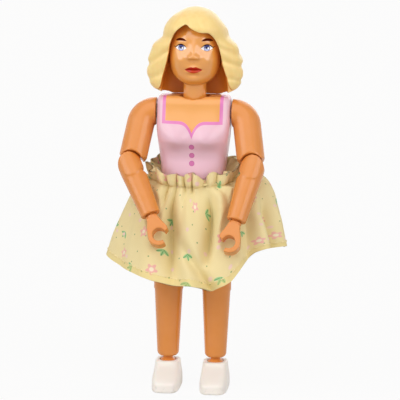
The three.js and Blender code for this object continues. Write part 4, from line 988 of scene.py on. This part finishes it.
# Main folds: degrees round the waist and round the hem, half-widths there in degrees, depth in millimetres,
# and the drops between which the fold swells and between which it fades
FOLDS = [
    (-28, -11.5, 8, 5.5, -4.6, -0.02, 0.42, 0.65, 1.15),
    (0, 1, 14, 6, 2.0, 0.02, 0.35, 1.2, 1.5),
    (30, 5, 6, 3.5, -3.8, -0.02, 0.38, 0.55, 0.9),
    (-30, 14.5, 9, 4, -3.0, 0.45, 0.75, 1.2, 1.5),
    (44, 10, 7, 5, 1.6, -0.02, 0.15, 0.35, 0.6),
    (40, 23, 8, 6, 0.8, 0.3, 0.9, 1.2, 1.5),
    (62, 43, 8, 6.5, -3.2, 0.05, 0.7, 1.2, 1.5),
    (66, 54, 7, 6, 1.0, 0.1, 0.8, 1.2, 1.5),
    (74, 64, 5, 3.5, -2.6, 0.1, 0.6, 1.2, 1.5),
    (84, 75, 6, 5, 1.6, 0.1, 0.6, 1.2, 1.5),
    (-45, -30, 7, 9, 1.2, -0.02, 0.3, 1.2, 1.5),
    (-72, -60, 8, 9, -1.0, 0.05, 0.7, 1.2, 1.5),
    (-90, -82, 9, 9, 0.8, 0.1, 0.8, 1.2, 1.5),
    (-105, -102, 8, 8, -1.0, 0.1, 0.8, 1.2, 1.5),
]
CLOTH_HALF, PLEATS, SKIRT_DROP = 0.14, 21, 30.0
# How far the cloth lies off a forearm's middle line, how softly it bends there and how fast it comes back beside it
ARM_CLEARANCE, ARM_SOFTNESS, ARM_FALL = 4.25, 0.3, 4
CASING_ROWS = [(1.02, 0.9), (0.96, 1.35), (0.9, 1.5), (0.85, 1.3), (0.85, 1.15), (0.9, 1.25), (0.96, 1.12),
               (1.02, 0.7)]
STITCHES, STITCH_SIDES = 46, 8
# Points along a stitch: height over the cloth and half-thickness
STITCH = [(-0.12, 0.04), (0.02, 0.12), (0.1, 0.15), (0.13, 0.16), (0.1, 0.15), (0.02, 0.12), (-0.12, 0.04)]


def waist_ring(angle):
    """The squarish ring of the gathered line, walked evenly."""
    dense = np.linspace(-math.pi, math.pi, 2881)
    along = -squarish(np.cos(dense), WAIST_SQUARENESS)
    x = WAIST_HALF_WIDTH * squarish(np.sin(dense), WAIST_SQUARENESS)
    y = np.where(along < 0, WAIST_FRONT, WAIST_BACK) * along
    distance = walked(x, y)
    even = -math.pi + FULL_TURN * distance / distance[-1]
    return np.interp(angle, even, x), np.interp(angle, even, y)


def main_folds(angle, down, out):
    degrees = np.degrees(angle)
    fold = 1.2 * blend_between(-0.1, 0.4, -np.cos(angle)) * np.cos(11 * (angle + QUARTER_TURN)) * down ** 0.9
    for at_waist, at_hem, waist_width, hem_width, depth, start, full, fade, gone in FOLDS:
        swell = blend_between(start, full, down) * (1 - blend_between(fade, gone, down))
        at, width = mixed(at_waist, at_hem, out), mixed(waist_width, hem_width, out)
        fold = fold + depth * swell * hill(degrees, at, width)
    return fold + 0.14 * np.sin(17 * angle + 9 * down) * down * (1.2 - down)


def gathers(angle, down, up):
    """Pleats of the gathered line and of the frill: how far they stand out, and how far they lean along
    the waist, so that their crests are broad and the hollows between them narrow."""
    turn = PLEATS * angle + 1.7 * np.sin(2 * angle + 0.4) + 1.3 * np.sin(5 * angle + 1.1) + 0.6 * np.sin(11 * angle)
    uneven = 0.82 + 0.2 * np.sin(3 * angle + 2.0) + 0.2 * np.sin(8 * angle + 0.5)
    below = (0.55 + 0.3 * blend_between(0, 0.07, down)) * (1 - blend_between(0.08, 0.5, down))
    below = below * (1 - 0.9 * blend_between(0.0, 0.08, down) * hill(np.degrees(angle), 1, 16))
    frill = 0.55 + 0.85 * blend_between(0, 0.35, up) + 0.3 * np.sin(math.pi * up)
    size = uneven * np.where(up > 0, frill, below)
    crumple = up * (0.55 * np.sin(9 * angle + 0.8) + 0.4 * np.sin(14 * angle + 2.2))
    return size * np.cos(turn) + crumple, 0.2 * size * np.sin(turn)


def bell(angle, down, up):
    """The smooth shape under the folds, how far out of the waist it is and how steeply it spreads."""
    sine, cosine = np.sin(angle), -np.cos(angle)
    waist_x, waist_y = waist_ring(angle)
    waist_z = WAIST_LINE_Z + WAIST_TILT * cosine
    hem_x = HEM_SWAY + HEM_HALF_WIDTH * sine
    hem_y = np.where(cosine < 0, HEM_FRONT, HEM_BACK) * cosine
    hem_z = curve_through(HEM_LINE, np.degrees(angle))
    power = mixed(np.where(cosine < 0, FRONT_SPREAD, SIDE_SPREAD), SIDE_SPREAD, np.abs(sine) ** 1.5)
    power = power - LEFT_FULLNESS * np.clip(sine, 0, 1) ** 2
    started = np.maximum(down, 1e-6)
    out = np.where(down > 0, started ** power, 0)
    spread = np.minimum(power * started ** (power - 1), 2.5) * np.hypot(hem_x - waist_x, hem_y - waist_y)
    flare = 1 + up ** 1.3 * FRILL_FLARE / WAIST_HALF_WIDTH
    x, y = mixed(waist_x, hem_x, out) * flare, mixed(waist_y, hem_y, out) * flare
    z = mixed(waist_z, hem_z, down) + up * FRILL_HEIGHT
    return np.stack([x, y, z], axis=-1), out, np.where(up > 0, -0.1, spread / (waist_z - hem_z))


def unit(vectors):
    return vectors / np.linalg.norm(vectors, axis=-1, keepdims=True)


def cloth_middle(angle, drop):
    """Points of the cloth's middle surface; drop is 0 at the gathered line, 1 at the hem and -1 at the
    top of the frill."""
    down, up = np.clip(drop, 0, 1), np.clip(-drop, 0, 1)
    points, out, spread = bell(angle, down, up)
    along = bell(angle + 0.004, down, up)[0] - bell(angle - 0.004, down, up)[0]
    along[..., 2] = 0
    along = unit(along)
    outward = unit(np.stack([along[..., 1], -along[..., 0], spread], axis=-1))
    pleat, lean = gathers(angle, down, up)
    moved = main_folds(angle, down, out) + pleat
    points = points + moved[..., None] * outward + lean[..., None] * along
    points[..., 2] += up * (0.7 * np.sin(13 * angle + 0.7) + 0.5 * np.sin(8 * angle + 2.1) + 0.3 * up * pleat)
    for side in (RIGHT, LEFT):
        points = behind_arm(points, side)
    return points


def behind_arm(points, side):
    """Pushes the cloth back until it lies clear behind a resting forearm and hand."""
    start, end = ((np.array(JOINTS[f"{NAMES[side]}_{joint}"]["pos_m"]) - (NECK[0], NECK[1], 0)) / MM
                  for joint in ("elbow", "wrist"))
    line = end - start
    share = np.clip(((points - start) @ line) / (line @ line), 0, 1)
    nearest = start + share[..., None] * line
    aside = np.hypot(points[..., 0] - nearest[..., 0], points[..., 2] - nearest[..., 2])
    clear = nearest[..., 1] + np.sqrt(np.maximum(ARM_CLEARANCE ** 2 - aside ** 2, 0))
    clear -= ARM_FALL * np.maximum(aside - ARM_CLEARANCE, 0)
    short = np.clip((clear - points[..., 1]) / ARM_SOFTNESS, -30, 30)
    points[..., 1] += ARM_SOFTNESS * np.where(short > 25, short, np.log1p(np.exp(short)))
    return points


def skirt():
    columns = 301
    drops = np.concatenate([np.linspace(-1, 0, 17)[:-1], np.linspace(0, 1, 76) ** 1.3])
    rows = len(drops)
    angle, drop = np.meshgrid(np.linspace(-math.pi, math.pi, 2 * columns - 1), drops)
    points = cloth_middle(angle, drop)
    wrapped = np.concatenate([points[:, -2:-1], points, points[:, 1:2]], axis=1)
    normals = unit(np.cross(np.gradient(points, axis=0), (wrapped[:, 2:] - wrapped[:, :-2]) / 2))
    turned_up = blend_between(HEM_TURN / SKIRT_DROP, (HEM_TURN - 0.25) / SKIRT_DROP, 1 - drop)
    doubled = blend_between(-0.1, -0.6, drop)
    half = (CLOTH_HALF + 0.07 * turned_up + 0.2 * doubled)[..., None]
    along = np.where(drop < 0, (1 + drop) * RUFFLE_LENGTH, RUFFLE_LENGTH + drop * (CLOTH_LENGTH - RUFFLE_LENGTH))
    flat = np.stack([angle / FULL_TURN + 0.5, 1 - along / CLOTH_LENGTH], axis=-1)

    for side, span in ((RIGHT, slice(0, columns)), (LEFT, slice(columns - 1, None))):
        outer, inner, ways, places = (grid[:, span] for grid in (
            points + normals * half, points - normals * half, normals, flat))
        faces = flipped(grid_faces(2 * rows, columns, closed=False))
        last, end = (2 * rows - 1) * columns, columns - 1
        faces += [(i, i + 1, last + i + 1, last + i) for i in range(end)]
        for row in range(rows - 1):
            front, back = row * columns, (2 * rows - 1 - row) * columns
            faces.append((front + columns, front, back, back - columns))
            faces.append((front + end, front + columns + end, back - columns + end, back + end))
        piece = cloth_piece(f"skirt_{NAMES[side]}", np.concatenate([outer, inner[::-1]]).reshape(-1, 3), faces,
                            np.concatenate([places, places[::-1]]).reshape(-1, 2), CLOTH)
        ways = np.concatenate([ways, -ways[::-1]]).reshape(-1, 3)
        piece.data.normals_split_custom_set_from_vertices(ways.tolist())
        stitches, casing = hem_stitches(side), waist_casing(side)
        hang(piece)
        hang(stitches)
        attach(casing, "torso")
        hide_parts("skirt")


def cloth_piece(name, points, faces, spots, material):
    """A piece of cloth, with each of its points laid on its place of the flat cloth."""
    piece = new_piece(name, points, faces)
    layer = piece.data.uv_layers.new(name="cloth")
    corners = np.zeros(len(piece.data.loops), int)
    piece.data.loops.foreach_get("vertex_index", corners)
    layer.data.foreach_set("uv", np.asarray(spots)[corners].ravel())
    return surfaced(piece, DOLL, material)


def waist_casing(side):
    """The cloth turned in over the elastic, down to the bodice."""
    angle = np.linspace(0, side * math.pi, 161)
    waist_x, waist_y = waist_ring(angle)
    pucker = 0.18 * np.cos(PLEATS * angle + 1.7 * np.sin(2 * angle + 0.4))
    rows, places = [], []
    for share, lift in CASING_ROWS:
        deep = np.where(waist_y < 0, share, 1 - 1.35 * (1 - share))
        z = WAIST_LINE_Z - WAIST_TILT * np.cos(angle) + lift + pucker * blend_between(0.84, 0.96, share)
        rows.append(np.stack([waist_x * share, waist_y * deep, z], axis=1))
        places.append(np.stack([angle / FULL_TURN + 0.5, np.full(len(angle), 0.9 + 0.4 * share)], axis=1))
    faces = grid_faces(len(rows), len(angle), closed=False)
    last = (len(rows) - 1) * len(angle)
    faces += [(last + i, last + i + 1, i + 1, i) for i in range(len(angle) - 1)]
    if side < 0:
        faces = flipped(faces)
    return cloth_piece(f"waist_casing_{NAMES[side]}", np.concatenate(rows), faces, np.concatenate(places), CLOTH)


def hang(piece):
    """Bakes the piece's place into its own mesh."""
    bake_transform(piece)


def hem_stitches(side):
    """Short raised stitches of thread above the hem."""
    points, faces, spots = [], [], []
    turns = np.linspace(0, FULL_TURN, STITCH_SIDES, endpoint=False)
    count = len(STITCH)
    lifts, sizes = np.array(STITCH).T
    skin = capped_faces(count, STITCH_SIDES)
    for i in range(STITCHES):
        middle = side * math.pi * (i + 0.5) / STITCHES
        reach = side * math.pi / STITCHES * 0.33
        angle = np.linspace(middle - reach, middle + reach, count)
        drop = np.full(count, 1 - HEM_TURN / SKIRT_DROP)
        line = cloth_middle(angle, drop)
        ahead = cloth_middle(angle + 0.01, drop) - line
        below = cloth_middle(angle, drop + 0.01) - line
        out, down = unit(np.cross(below, ahead)), unit(below)
        faces += [tuple(len(points) + corner for corner in face) for face in skin]
        for centre, normal, fall, size in zip(line + out * (CLOTH_HALF + lifts[:, None]), out, down, sizes):
            for turn in turns:
                points.append(centre + size * (math.cos(turn) * fall + math.sin(turn) * normal))
                spots.append((middle / FULL_TURN + 0.5 + size * math.cos(turn), 0.1 + size * math.sin(turn)))
    return cloth_piece(f"hem_stitches_{NAMES[side]}", points, faces, spots, THREAD)


def hidden_pieces():
    """Pins, pelvis and elastic keep their solids; they only get their materials."""
    for name, node in frame["nodes"].items():
        material = {"pelvis": SKIN, "waist_elastic": ELASTIC}.get(name, PIN if name.endswith("_pin") else None)
        if material:
            node.data.materials.clear()
            node.data.materials.append(material)
            node.data.shade_smooth()
            node.data.set_sharp_from_angle(angle=math.radians(35))


# Studio: a pale floor, soft lights and the camera

FLOOR_HALF, FLOOR_WHITE = 3, 0.94
WHITE, WARM_SHADE = (1, 1, 1, 1), (0.24, 0.2, 0.16, 1)
# Direction to each light, its width in degrees and its power
LIGHTS = {
    "top": ((-0.1, -0.7, 1.0), 60, 1.04),
    "left": ((-0.95, -0.7, 0.36), 46, 1.26),
    "right": ((0.95, -0.7, 0.36), 46, 1.22),
    "back": ((0.1, 1.0, 0.6), 60, 0.7),
}
CAMERA_TARGET = (NECK[0] + 1.84 * MM, NECK[1], 0.05476)
CAMERA_AZIMUTH, CAMERA_ELEVATION, CAMERA_ROLL, CAMERA_DISTANCE, CAMERA_LENS = 6, 10, 0.7, 0.6027, 190


def looked_at(graph):
    """1 where a surface is looked at, straight or in a shine, and 0 where it only lights other surfaces."""
    path = graph.node("ShaderNodeLightPath").outputs
    return graph.most(graph.most(path["Is Camera Ray"], path["Is Glossy Ray"]), path["Is Transmission Ray"])


def studio_floor():
    corners = [(x * FLOOR_HALF, y * FLOOR_HALF, 0) for x, y in ((-1, -1), (1, -1), (1, 1), (-1, 1))]
    floor = new_piece("studio_floor", corners, [(0, 1, 2, 3)])
    material, graph, shader = new_material("studio_paper")
    place = graph.node("ShaderNodeTexCoord").outputs["Object"]
    white = graph.mix(graph.noise(place, 40.0), screen(200, 199, 196), screen(206, 205, 202))
    graph.fill(shader, Base_Color=white, Roughness=0.9, Specular_IOR_Level=0.0)
    glow = graph.node("ShaderNodeEmission", Color=WHITE, Strength=1.0)
    both = graph.node("ShaderNodeMixShader")
    nodes = material.node_tree.nodes
    paper = nodes["Principled BSDF"].outputs[0]
    for socket, value in zip(both.inputs, (looked_at(graph) * FLOOR_WHITE, paper, glow.outputs[0])):
        graph.join(socket, value)
    graph.fill(nodes["Material Output"].inputs, Surface=both.outputs[0])
    floor.data.materials.append(material)


def studio_air():
    world = bpy.data.worlds.new("studio_white")
    world.use_nodes = True
    bpy.context.scene.world = world
    graph = Graph(world.node_tree)
    colour = graph.mix(looked_at(graph), WARM_SHADE, WHITE)
    graph.fill(world.node_tree.nodes["Background"].inputs, Color=colour, Strength=1.0)


def turned_to(direction):
    return Vector(direction).to_track_quat("Z", "Y").to_matrix().to_4x4()


def soft_light(name, towards, spread, power):
    """A broad, even light from one direction; spread is its width in degrees."""
    light = bpy.data.lights.new(name, "SUN")
    light.angle = math.radians(spread)
    light.energy = power
    placed(name, light).matrix_world = Matrix.Translation(towards) @ turned_to(towards)


def photo_camera():
    azimuth, elevation = math.radians(CAMERA_AZIMUTH), math.radians(CAMERA_ELEVATION)
    level = math.cos(elevation)
    back = Vector((math.sin(azimuth) * level, -math.cos(azimuth) * level, math.sin(elevation)))
    lens = bpy.data.cameras.new("photo_camera")
    lens.lens = CAMERA_LENS
    lens.sensor_width = 36
    lens.clip_start = 0.01
    camera = placed("photo_camera", lens)
    roll = Matrix.Rotation(math.radians(CAMERA_ROLL), 4, "Z")
    at = Matrix.Translation(Vector(CAMERA_TARGET) + back * CAMERA_DISTANCE)
    camera.matrix_world = at @ turned_to(back) @ roll
    bpy.context.scene.camera = camera


torso()
head()
hair()
for hand_side in (RIGHT, LEFT):
    arm(hand_side)
    leg(hand_side)
skirt()
hidden_pieces()
bpy.context.scene.view_settings.view_transform = "Standard"
studio_floor()
studio_air()
for light_name, (light_towards, light_spread, light_power) in LIGHTS.items():
    soft_light(light_name, light_towards, light_spread, light_power)
photo_camera()
